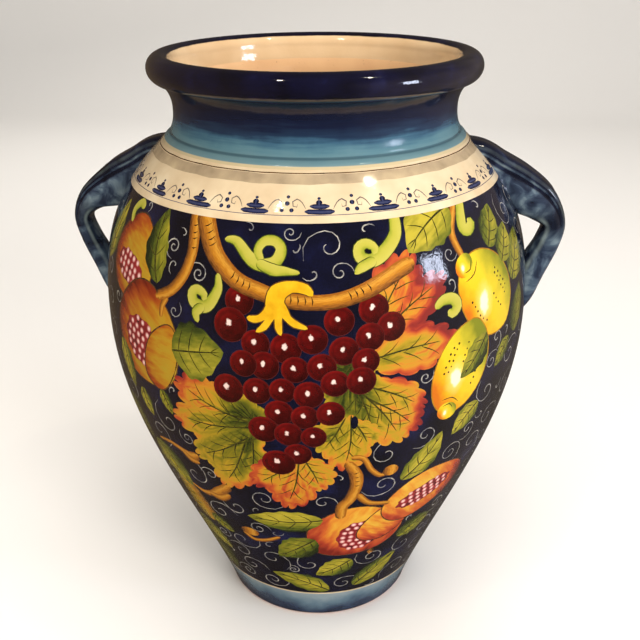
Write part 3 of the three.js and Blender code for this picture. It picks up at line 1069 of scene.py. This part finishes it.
def paints():
    """The painter's colours, one glaze for each, with the two that the foot also has."""
    made = {name: bpy.data.materials[name] for name in ("foot_blue", "cream_inside")}
    for name, roughness, scale, detail, *colours in PLAIN_PAINTS:
        glaze = Glaze(name, roughness)
        made[name] = glaze.fired(glaze.steps(glaze.mottle(scale, detail), *colours))
    for name, roughness, mixture in MIXED_PAINTS:
        glaze = Glaze(name, roughness)
        made[name] = glaze.fired(mixture(glaze))
    return made


def on_wall(angle, length):
    """Where a place on the belly is, and which way the wall faces there."""
    z = np.interp(length, wall_lengths, wall_heights)
    r = np.interp(length, wall_lengths, wall_radii)
    slope = np.interp(length, wall_lengths, wall_slopes)
    out = np.stack([np.sin(angle), -np.cos(angle), -slope], 1)
    points = np.stack([r * np.sin(angle), -r * np.cos(angle), z], 1)
    return points, out / np.linalg.norm(out, axis=1)[:, None]


CUT_INSIDE_SHAPES = 1
CUT_SNAP = 1e-3
EDGE_SLACK = 1e-6
SMALLEST_AREA = 1e-4
SKIN_LEFT = SEAM * PLANE_RADIUS
SKIN_RIGHT = (SEAM + FULL_TURN) * PLANE_RADIUS
SEAM_REACH = 0.01
SEAM_MATCH = 0.02


def cut_shapes():
    """The outlines to cut, on the unrolled belly, with those that cross its seam on both ends."""
    corners, shapes, owners = [], [], []
    for i in range(GRID_AROUND + 1):
        for j in range(GRID_UP + 1):
            x = (SEAM + FULL_TURN * i / GRID_AROUND) * PLANE_RADIUS
            corners.append((x, wall_length / MM * j / GRID_UP))
    ends = [0, GRID_AROUND * (GRID_UP + 1), len(corners) - 1, GRID_UP]
    shapes.append(ends)
    owners.append((-1, 0.0))
    for index, (outlines, *_) in enumerate(painting):
        for outline in outlines:
            angles = [p[0] for p in outline]
            home = FULL_TURN * math.floor(((min(angles) + max(angles)) / 2 - SEAM) / FULL_TURN)
            goes_round = max(angles) - min(angles) > 0.95 * FULL_TURN
            if goes_round:
                home = 0.0
            shifts = [-home]
            if min(angles) - home < SEAM - EDGE_SLACK:
                shifts.append(FULL_TURN - home)
            if max(angles) - home > SEAM + FULL_TURN + EDGE_SLACK:
                shifts.append(-FULL_TURN - home)
            for shift in shifts:
                points = [((a + shift) * PLANE_RADIUS, s / MM) for a, s in outline]
                following = points[1:] + points[:1]
                area = sum(a[0] * b[1] - b[0] * a[1] for a, b in zip(points, following))
                if abs(area) < SMALLEST_AREA:
                    continue
                if area < 0:
                    points.reverse()
                shapes.append(list(range(len(corners), len(corners) + len(points))))
                corners += points
                owners.append((index, shift))
    return corners, shapes, owners


def topmost_patches(flat, triangles, over, corners, shapes):
    """The highest shape over each triangle. A cut through another shape's corner can leave
    an outline open, so a shape that came out too large is looked up place by place."""
    a, b, c = (flat[triangles[:, k]] for k in range(3))
    middles = (a + b + c) / 3
    one, two = b - a, c - a
    areas = abs(one[:, 0] * two[:, 1] - two[:, 0] * one[:, 1]) / 2
    members = {}
    for triangle, sources in enumerate(over):
        for source in sources:
            members.setdefault(source, []).append(triangle)
    top = np.full(len(triangles), -1)
    for source in sorted(members):
        chosen = np.array(members[source])
        outline = np.array([corners[i] for i in shapes[source]])
        following = np.roll(outline, -1, 0)
        size = abs((outline[:, 0] * following[:, 1] - following[:, 0] * outline[:, 1]).sum()) / 2
        if source and areas[chosen].sum() > 1.05 * size + 0.5:
            chosen = chosen[lies_in(outline, middles[chosen])]
        top[chosen] = source
    return top


def joined_seam(flat):
    """Which corner stands for each one, once the unrolled skin's two side edges are one."""
    joined = np.arange(len(flat))
    left_edge = np.flatnonzero(abs(flat[:, 0] - SKIN_LEFT) < SEAM_REACH)
    for corner in np.flatnonzero(abs(flat[:, 0] - SKIN_RIGHT) < SEAM_REACH):
        nearest = left_edge[np.argmin(abs(flat[left_edge, 1] - flat[corner, 1]))]
        if abs(flat[nearest, 1] - flat[corner, 1]) < SEAM_MATCH:
            joined[corner] = nearest
    return joined


INSIDE_MAP = (SKIN_SHARE + 0.02, 0.99)


def inside_wall(skin_foot, skin_top, total, normals):
    """The inside of the wall, ring by ring from the base, between the skin's two ends."""
    rings = [skin_foot]
    for z in between(slab_top, neck_base, INSIDE_ROWS):
        rings.append(list(range(len(total), len(total) + GRID_AROUND)))
        r, slope = inner_wall(z), outer_wall(z)[1]
        size = math.hypot(1, slope)
        for i in range(GRID_AROUND):
            angle = SEAM + FULL_TURN * i / GRID_AROUND
            right, back = math.sin(angle), -math.cos(angle)
            total.append((r * right, r * back, z))
            normals.append((-right / size, -back / size, slope / size))
    rings.append(skin_top)
    faces, inside_map = [], []
    heights = between(*INSIDE_MAP, len(rings) - 1)
    for row, (low, high) in enumerate(zip(rings, rings[1:])):
        for i in range(GRID_AROUND):
            k = (i + 1) % GRID_AROUND
            faces.append([low[i], high[i], high[k], low[k]])
            u0, u1 = i / GRID_AROUND, (i + 1) / GRID_AROUND
            inside_map += [(u0, heights[row]), (u0, heights[row + 1]),
                           (u1, heights[row + 1]), (u1, heights[row])]
    return faces, inside_map


def painted_belly():
    """The painted skin, cut along every outline, and the plain inside that closes it."""
    painted_skin()
    corners, shapes, owners = cut_shapes()
    cut_points, _, cut_triangles, origins, _, over = delaunay_2d_cdt(
        [Vector(c) for c in corners], [], shapes, CUT_INSIDE_SHAPES, CUT_SNAP)
    flat = np.array([tuple(v) for v in cut_points])
    joined = joined_seam(flat)
    found = {source: out for out, sources in enumerate(origins) for source in sources}
    finishes = paints()
    slots = {name: i for i, name in enumerate(finishes)}
    angles, lengths = flat[:, 0] / PLANE_RADIUS, flat[:, 1] * MM
    points, facing = on_wall(angles, lengths)
    foot_line = spot(0, GROUND_LOW - 1)[1]

    triangles, slot_of, by_patch = [], [], {}
    tops = topmost_patches(flat, np.array(cut_triangles), over, corners, shapes)
    for corner_ids, top in zip(cut_triangles, tops):
        if top < 0 or len(set(joined[list(corner_ids)])) < 3:
            continue
        index, shift = owners[top]
        if index < 0:
            low = lengths[list(corner_ids)].mean() < foot_line
            slot_of.append(slots["foot_blue" if low else "cream"])
        else:
            slot_of.append(slots[painting[index][1]])
            by_patch.setdefault((index, shift), []).append(len(triangles))
        triangles.append(corner_ids)
    triangles = np.array(triangles)

    stroke_map = np.zeros((len(triangles), 3, 2))
    hand_map = np.full((len(triangles), 3, 2), 0.5)
    for (index, shift), members in by_patch.items():
        _, _, own, mood, _ = painting[index]
        hand_map[members] = mood
        if own is not None:
            chosen = triangles[members]
            u, v, *tone = own(angles[chosen] - shift, lengths[chosen])
            stroke_map[members] = np.stack([u, v], -1)
            if tone:
                hand_map[members, :, 1] = tone[0]
    bake_map = np.stack([
        (flat[triangles][..., 0] - SKIN_LEFT) / (SKIN_RIGHT - SKIN_LEFT),
        SKIN_SHARE * lengths[triangles] / wall_length,
    ], -1)

    total = list(map(tuple, points))
    normals = list(map(tuple, facing))
    ends = [[int(joined[found[i * (GRID_UP + 1) + row]]) for i in range(GRID_AROUND)]
            for row in (0, GRID_UP)]
    inside_faces, inside_map = inside_wall(*ends, total, normals)
    faces = [[int(joined[c]) for c in t] for t in triangles] + inside_faces
    slot_of += [slots["cream_inside"]] * len(inside_faces)

    blank = np.zeros((len(inside_map), 2))
    bake_map = np.concatenate([bake_map.reshape(-1, 2), np.array(inside_map)])
    stroke_map = np.concatenate([stroke_map.reshape(-1, 2), blank])
    belly = new_piece("painted_belly", total, faces, bake_map, stroke_map)
    hand_layer = belly.data.uv_layers.new(name="Hand")
    hand_map = np.concatenate([hand_map.reshape(-1, 2), blank + 0.5])
    hand_layer.data.foreach_set("uv", hand_map.astype(np.float32).ravel())
    for finish in finishes.values():
        belly.data.materials.append(finish)
    belly.data.polygons.foreach_set("material_index", np.array(slot_of, np.int32))
    belly.data.normals_split_custom_set_from_vertices(normals)
    return belly


belly = painted_belly()
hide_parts("lower_belly", "upper_belly")
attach(belly, "root")

# Neck: a short thrown collar with a bead and a tooled groove round its foot. The blue
# was brushed on in slanting strokes, thick and dark at the top, thin over the bead.
BEAD_HEIGHT = 5 * MM
BEAD_PROUD = 0.9 * MM
GROOVE_DEPTH = 1.2 * MM
GROOVE_WIDTH = 2.6 * MM
GROOVE_SHARE = (BEAD_HEIGHT + GROOVE_WIDTH / 2) / (rim_base - neck_base)
NECK_STEPS = 44


def neck_radius(z):
    rise = z - neck_base
    radius = outer_wall(z)[0]
    if rise < BEAD_HEIGHT:
        return radius + BEAD_PROUD * math.sin(math.pi * rise / BEAD_HEIGHT)
    if rise < BEAD_HEIGHT + GROOVE_WIDTH:
        return radius - GROOVE_DEPTH * math.sin(math.pi * (rise - BEAD_HEIGHT) / GROOVE_WIDTH)
    return radius


def neck_blue():
    glaze = Glaze("neck_blue", roughness=0.14, coat=0.0)
    x, y, z = glaze.xyz()
    angle = x.worked("ARCTAN2", y * -1.0)
    rise = (z - neck_base) / (rim_base - neck_base)
    sweep = glaze.mottle(1.4, 4.0, where=glaze.vector(angle * 1.6, rise * 9.0))
    tone = rise + sweep * 0.3 + glaze.mottle(50, 4.0) * 0.16 - 0.23
    blue = glaze.steps(tone, (0.0, "#6d8c92"), (0.24, "#557c8a"), (0.36, "#3b6078"),
                       (0.45, "#223650"), (0.62, "#131c36"), (1.0, "#0a0b1c"))
    groove = glaze.fade(abs(rise - GROOVE_SHARE), 0.03, 0.01)
    blue = glaze.blend(groove * 0.6, blue, "#2c4656")
    return glaze.fired(glaze.blend(glaze.fade(rise, 0.05, 0.035), blue, "#c4b490"), ripple=0.9)


def neck_outline():
    heights = between(neck_base, rim_base, NECK_STEPS)
    outer = [(neck_radius(z), z) for z in heights]
    inner = [(inner_wall(z), z) for z in reversed(heights)]
    return outer + inner


neck = turned("collar", neck_outline())
neck.data.materials.append(neck_blue())
neck.data.materials.append(bpy.data.materials["cream_inside"])
for face in neck.data.polygons:
    outward = face.normal.x * face.center.x + face.normal.y * face.center.y
    if outward < 0:
        face.material_index = 1
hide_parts("neck_collar")
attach(neck, "root")

# Rim: the edge of the neck rolled over outwards into a thick lip. Its blue is nearly
# black and very glossy, and stops in a brushed line where the cream inside begins.
ROLL_STEPS = 40
ROLL_HALF_WIDTH = 10.3 * MM
INSIDE_STEPS = 8
BLUE_STARTS = 117.1 * MM
BLUE_BLUR = 0.5 * MM


def rim_blue():
    glaze = Glaze("rim_blue", roughness=0.07, coat=0.7)
    x, y, _ = glaze.xyz()
    edge = distance(x, y) + glaze.mottle(60, 3.0) * (1.2 * MM) - 0.6 * MM
    share = glaze.fade(edge, BLUE_STARTS - BLUE_BLUR, BLUE_STARTS + BLUE_BLUR)
    blue = glaze.steps(glaze.mottle(45, 4.0), (0.3, "#060612"), (0.6, "#0b0c24"), (0.8, "#181b3c"))
    cream = glaze.steps(glaze.mottle(20, 3.0), (0.3, "#cfae84"), (0.7, "#dfc29a"))
    return glaze.fired(glaze.blend(share, cream, blue))


def rim_outline():
    half_high = (rim_top.z - rim_base) / 2
    middle = rim_base + half_high
    centre = rim_top.x - ROLL_HALF_WIDTH
    outline = [(inner_wall(rim_base), rim_base), (outer_wall(rim_base)[0], rim_base)]
    for turn in between(-math.pi / 2, math.pi, ROLL_STEPS):
        out, up = ROLL_HALF_WIDTH * math.cos(turn), half_high * math.sin(turn)
        outline.append((centre + out, middle + up))
    low, high = inner_wall(rim_base), centre - ROLL_HALF_WIDTH
    for t in between(0, 1, INSIDE_STEPS)[1:-1]:
        outline.append((low + (high - low) * (1 - t) ** 1.3, middle - half_high * t))
    return outline


rim = turned("rolled_lip", rim_outline())
rim.data.materials.append(rim_blue())
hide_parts("rolled_rim")
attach(rim, "root")

# Handles: two pulled straps, bent into an ear and luted to the shoulder above and the
# belly below. Their edges were pinched up into lips, where the glaze runs thin and pale.
STRAP_REACH = 28 * MM
STRAP_HALF_WIDTH = 13 * MM
STRAP_HALF_THICK = 10.5 * MM
STRAP_THINNING = {"right_handle": 0.0, "left_handle": 0.32}
STRAP_STEPS = 110
STRAP_SIDES = 56
STRAP_SQUARENESS = 2.8
LIP_DIP = 3.4 * MM
CREASE_DEPTH = 2.4 * MM
CREASE_PLACE = 0.42
TUCK = 0.6 * MM

# Share of the way down the shoulder, distance out from the wall as a share of the reach,
# width and thickness as shares of the bend's, and share of the left strap's thinning
STRAP_PLACES = [
    (0.15, -1.42, 1.38, 2.0, 0.0), (0.16, -0.55, 1.38, 2.05, 0.0), (0.225, -0.16, 1.46, 2.07, 0.0),
    (0.3, 0.34, 1.42, 1.97, 0.0), (0.385, 0.8, 1.27, 1.62, 0.7), (0.505, 1.0, 1.0, 1.02, 1.0),
    (0.64, 0.7, 1.0, 1.0, 1.0), (0.808, 0.2, 1.15, 1.1, 1.0), (0.955, -0.02, 1.15, 0.81, 0.5),
    (1.046, -0.2, 0.88, 0.52, 0.0),
]


def strap_at(t, thinning):
    """Centre (out, up), half width and half thickness of the strap at a share of its length."""
    stations = []
    for down, out, wide, thick, thins in STRAP_PLACES:
        z = neck_base - down * (neck_base - belly_widest.z)
        half = thick * STRAP_HALF_THICK
        lost = half * thins * thinning
        x = outer_wall(z)[0] + out * STRAP_REACH + lost
        stations.append((x, z, wide * STRAP_HALF_WIDTH, half - lost))
    last = len(stations) - 1
    i = min(int(t * last), last - 1)
    nearby = [stations[k] for k in (max(i - 1, 0), i, i + 1, min(i + 2, last))]
    return flowing(*nearby, t * last - i)


def rounded(value, power):
    return math.copysign(abs(value) ** power, value)


def strap_handle(name, way):
    points, faces, bake_map, stroke_map = [], [], [], []
    own = []
    thinning = STRAP_THINNING[name]
    for i in range(STRAP_STEPS + 1):
        t = i / STRAP_STEPS
        x, z, wide, thick = strap_at(t, thinning)
        before = strap_at(max(t - 0.005, 0), thinning)
        after = strap_at(min(t + 0.005, 1), thinning)
        run, rise = after[0] - before[0], after[1] - before[1]
        size = math.hypot(run, rise)
        out = (-rise / size, run / size)
        dip = LIP_DIP * math.sin(math.pi * min(1, max(0, t / 0.85))) ** 0.6
        crease = CREASE_DEPTH * max(0.0, math.sin(math.pi * min(1, max(0, t - 0.08) / 0.55))) ** 0.7
        for j in range(STRAP_SIDES):
            turn = FULL_TURN * j / STRAP_SIDES
            a = rounded(math.cos(turn), 2 / STRAP_SQUARENESS)
            b = rounded(math.sin(turn), 2 / STRAP_SQUARENESS)
            across, up = wide * a, thick * b
            if b > 0:
                up -= dip * max(0.0, math.cos(math.pi / 2 * min(1, abs(a) / 0.8))) ** 1.4
            fold = math.exp(-(((b - CREASE_PLACE) / 0.16) ** 2)) * abs(a) ** 3
            across -= math.copysign(crease * fold, a)
            px, py, pz = x + out[0] * up, across, z + out[1] * up
            reach = math.hypot(px, py)
            limit = outer_wall(min(pz, rim_base))[0] - TUCK
            if pz < rim_base and reach < limit:
                px, py = px * limit / reach, py * limit / reach
            points.append((way * px, way * py, pz))
            own.append((a, b))
    for i in range(STRAP_STEPS):
        for j in range(STRAP_SIDES):
            k = (j + 1) % STRAP_SIDES
            first, second = i * STRAP_SIDES, (i + 1) * STRAP_SIDES
            loop = [(first + j, j, i), (first + k, j + 1, i), (second + k, j + 1, i + 1),
                    (second + j, j, i + 1)]
            faces.append([c[0] for c in loop])
            bake_map += [(c[1] / STRAP_SIDES, 0.95 * c[2] / STRAP_STEPS) for c in loop]
            stroke_map += [own[c[0]] for c in loop]
    for ring, middle in ((range(STRAP_SIDES - 1, -1, -1), 0.25),
                         (range(STRAP_STEPS * STRAP_SIDES, (STRAP_STEPS + 1) * STRAP_SIDES), 0.75)):
        faces.append(list(ring))
        turns = [FULL_TURN * j / STRAP_SIDES for j in range(STRAP_SIDES)]
        bake_map += [(middle + 0.02 * math.cos(a), 0.975 + 0.02 * math.sin(a)) for a in turns]
        stroke_map += [own[c] for c in ring]
    return new_piece(name, points, faces, bake_map, stroke_map, sharp_angle=70)


def handle_blue():
    glaze = Glaze("handle_blue", roughness=0.1, coat=0.35)
    across, up = glaze.own()
    along = glaze.own("OFBake")[1]
    edge = glaze.fade(abs(across), 0.72, 0.96)
    cloud = glaze.mottle(64, 5.0, warp=0.8)
    body = glaze.steps(cloud, (0.28, "#161d2c"), (0.42, "#2a3548"), (0.54, "#485868"),
                       (0.66, "#74858e"), (0.8, "#a2aeae"))
    deep = glaze.steps(cloud, (0.3, "#080a14"), (0.6, "#12182c"), (0.85, "#2e3a54"))
    top = glaze.fade(up, 0.5, 0.62) * glaze.fade(along, 0.62, 0.5)
    fold = glaze.fade(abs(up - CREASE_PLACE), 0.14, 0.04) * edge * glaze.fade(along, 0.6, 0.52)
    bend = glaze.fade(along, 0.4, 0.5) * glaze.fade(along, 0.62, 0.54) * 0.85
    dark = top.worked("MAXIMUM", fold).worked("MAXIMUM", bend)
    upper_lip = edge * glaze.fade(up, 0.62, 0.9)
    inner_lip = edge * glaze.fade(up, -0.35, -0.75) * glaze.fade(along, 0.42, 0.5)
    worn = glaze.mottle(90, 3.0) * 1.5 - 0.25
    lips = ((upper_lip + inner_lip) * worn).worked("MINIMUM", 0.9)
    return glaze.fired(glaze.blend(lips, glaze.blend(dark, body, deep), "#a9bcb8"), ripple=0.7)


handle_glaze = handle_blue()
for name, node, way in (("right_handle", "handle_right", 1), ("left_handle", "handle_left", -1)):
    handle = strap_handle(name, way)
    handle.data.materials.append(handle_glaze)
    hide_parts(node)
    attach(handle, "root")

# Floor: a plain sheet of pale paper that the jar stands on. It lies flat in front and
# curves up behind the jar, and the glaze doesn't mirror it.
FLOOR_DEPTH = 3.0
FLOOR_HALF_WIDTH = 7.0
SWEEP_RADIUS = 0.8
SWEEP_STEPS = 16


def floor_sheet():
    profile = [(-FLOOR_DEPTH, 0.0), (FLOOR_DEPTH - SWEEP_RADIUS, 0.0)]
    for turn in between(0, math.pi / 2, SWEEP_STEPS)[1:]:
        profile.append((FLOOR_DEPTH - SWEEP_RADIUS + SWEEP_RADIUS * math.sin(turn),
                        SWEEP_RADIUS - SWEEP_RADIUS * math.cos(turn)))
    profile.append((FLOOR_DEPTH, FLOOR_DEPTH))
    points = [(x, y, z) for y, z in profile for x in (-FLOOR_HALF_WIDTH, FLOOR_HALF_WIDTH)]
    faces = [[2 * i, 2 * i + 1, 2 * i + 3, 2 * i + 2] for i in range(len(profile) - 1)]
    sheet = placed("floor", points, faces)
    sheet.data.shade_smooth()
    paper = Glaze("pale_paper", roughness=0.85, coat=0.0)
    feed(paper.shader.inputs["Base Color"], "#f7f6f4")
    sheet.data.materials.append(paper.material)
    return sheet


floor = floor_sheet()
floor.visible_glossy = False

# Light: broad soft boxes above and on three sides that the glaze doesn't mirror; a
# window of two panes and two lamps that it does; and an even sky.
LAMP_AIM = Vector((0, 0, 0.28))

# Name, place, width, height, power, tint, and whether the glaze mirrors it
LAMPS = [
    ("overhead_light", (0.2, -0.6, 2.2), 1.5, 1.5, 28, "#fff8f0", False),
    ("left_light", (-1.5, -1.6, 1.3), 1.2, 1.2, 9, "#ffeed8", False),
    ("right_light", (1.5, -1.9, 1.2), 1.0, 1.0, 40, "#fff8f0", False),
    ("back_light", (-0.5, 1.9, 1.6), 1.4, 1.4, 14, "#fff8f0", False),
    ("window_left_pane", (1.86, -0.9, 0.81), 0.17, 0.5, 4, "#dfe8ff", True),
    ("window_right_pane", (1.99, -0.7, 0.81), 0.17, 0.5, 4, "#dfe8ff", True),
    ("ceiling_lamp", (-0.55, -1.1, 2.3), 0.08, 0.08, 3, "#fff0d8", True),
    ("second_lamp", (0.9, -0.4, 2.3), 0.07, 0.07, 3, "#fff0d8", True),
]
for name, place, wide, high, power, tint, mirrored in LAMPS:
    lamp = bpy.data.lights.new(name, "AREA")
    lamp.shape = "RECTANGLE"
    lamp.size = wide
    lamp.size_y = high
    lamp.energy = power
    lamp.color = colour(tint)[:3]
    box = bpy.data.objects.new(name, lamp)
    box.location = place
    box.rotation_euler = (LAMP_AIM - Vector(place)).to_track_quat("-Z", "Y").to_euler()
    box.visible_glossy = mirrored
    box.visible_camera = False
    bpy.context.scene.collection.objects.link(box)

sky = bpy.data.worlds.new("sky")
sky.use_nodes = True
sky.node_tree.nodes["Background"].inputs["Color"].default_value = colour("#f0eeea")
sky.node_tree.nodes["Background"].inputs["Strength"].default_value = 0.4
sky.cycles_visibility.glossy = False
bpy.context.scene.world = sky
bpy.context.scene.view_settings.view_transform = "Standard"

# Room: dim walls all round that show only in the glaze, warm and dark on the left and
# paler towards the window. Outside them is a plain pale backdrop for the camera alone.
ROOM_RADIUS = 4.0
BACKDROP_RADIUS = 10.0
BACKDROP_ROUGHNESS = 0.5
DOME_SIDES = 48
DOME_ROWS = 24


def dome(name, radius):
    """A sphere round the whole scene that no light or camera meets until it is told to."""
    points, faces = [], []
    for i in range(DOME_ROWS + 1):
        tilt = math.pi * (i / DOME_ROWS - 0.5)
        for j in range(DOME_SIDES):
            angle = FULL_TURN * j / DOME_SIDES
            flat = radius * math.cos(tilt)
            points.append((flat * math.cos(angle), flat * math.sin(angle), radius * math.sin(tilt)))
    for i in range(DOME_ROWS):
        for j in range(DOME_SIDES):
            k = (j + 1) % DOME_SIDES
            low, high = i * DOME_SIDES, (i + 1) * DOME_SIDES
            faces.append([low + j, high + j, high + k, low + k])
    shell = placed(name, points, faces)
    for ray in ("camera", "glossy", "diffuse", "shadow", "transmission"):
        setattr(shell, "visible_" + ray, False)
    return shell


def glowing(paint, glow):
    """A paint that gives off its colour and takes no light."""
    feed(paint.shader.inputs["Base Color"], "#000000")
    feed(paint.shader.inputs["Emission Color"], glow)
    feed(paint.shader.inputs["Emission Strength"], 1.0)
    return paint.material


def room_glow():
    paint = Glaze("room_glow", roughness=1.0, coat=0.0)
    side = paint.xyz()[0] * (0.5 / ROOM_RADIUS) + paint.mottle(0.5, 2.0) * 0.3 + 0.35
    walls = ((0.05, "#6a5844"), (0.4, "#463e36"), (0.7, "#564e46"), (0.95, "#94867a"))
    return glowing(paint, paint.steps(side, *walls))


room = dome("room_walls", ROOM_RADIUS)
room.data.materials.append(room_glow())
room.visible_glossy = True
backdrop = dome("backdrop", BACKDROP_RADIUS)
backdrop_paper = Glaze("backdrop_paper", BACKDROP_ROUGHNESS, coat=0.0)
backdrop.data.materials.append(glowing(backdrop_paper, "#dad8d4"))
backdrop.visible_camera = True

# Camera: a little above the rim and close to the jar, looking down on the shoulder. Its
# place, tilt and lens follow the rings and the outline that the photo shows.
CAMERA_PLACE = (65.05 * MM, -743.5 * MM, 590.5 * MM)
CAMERA_PITCH = 65.77
CAMERA_HEADING = 5.0
CAMERA_ROLL = -0.47
lens = bpy.data.cameras.new("camera")
lens.sensor_width = 36
lens.lens = 50.6
lens.shift_x = 0.0047
lens.shift_y = 0.0142
camera = bpy.data.objects.new("camera", lens)
bpy.context.scene.collection.objects.link(camera)
camera.location = CAMERA_PLACE
head, pitch, roll = (math.radians(a) for a in (CAMERA_HEADING, CAMERA_PITCH, CAMERA_ROLL))
aim = Matrix.Rotation(head, 3, "Z") @ Matrix.Rotation(pitch, 3, "X")
camera.rotation_euler = (aim @ Matrix.Rotation(roll, 3, "Z")).to_euler()
bpy.context.scene.camera = camera
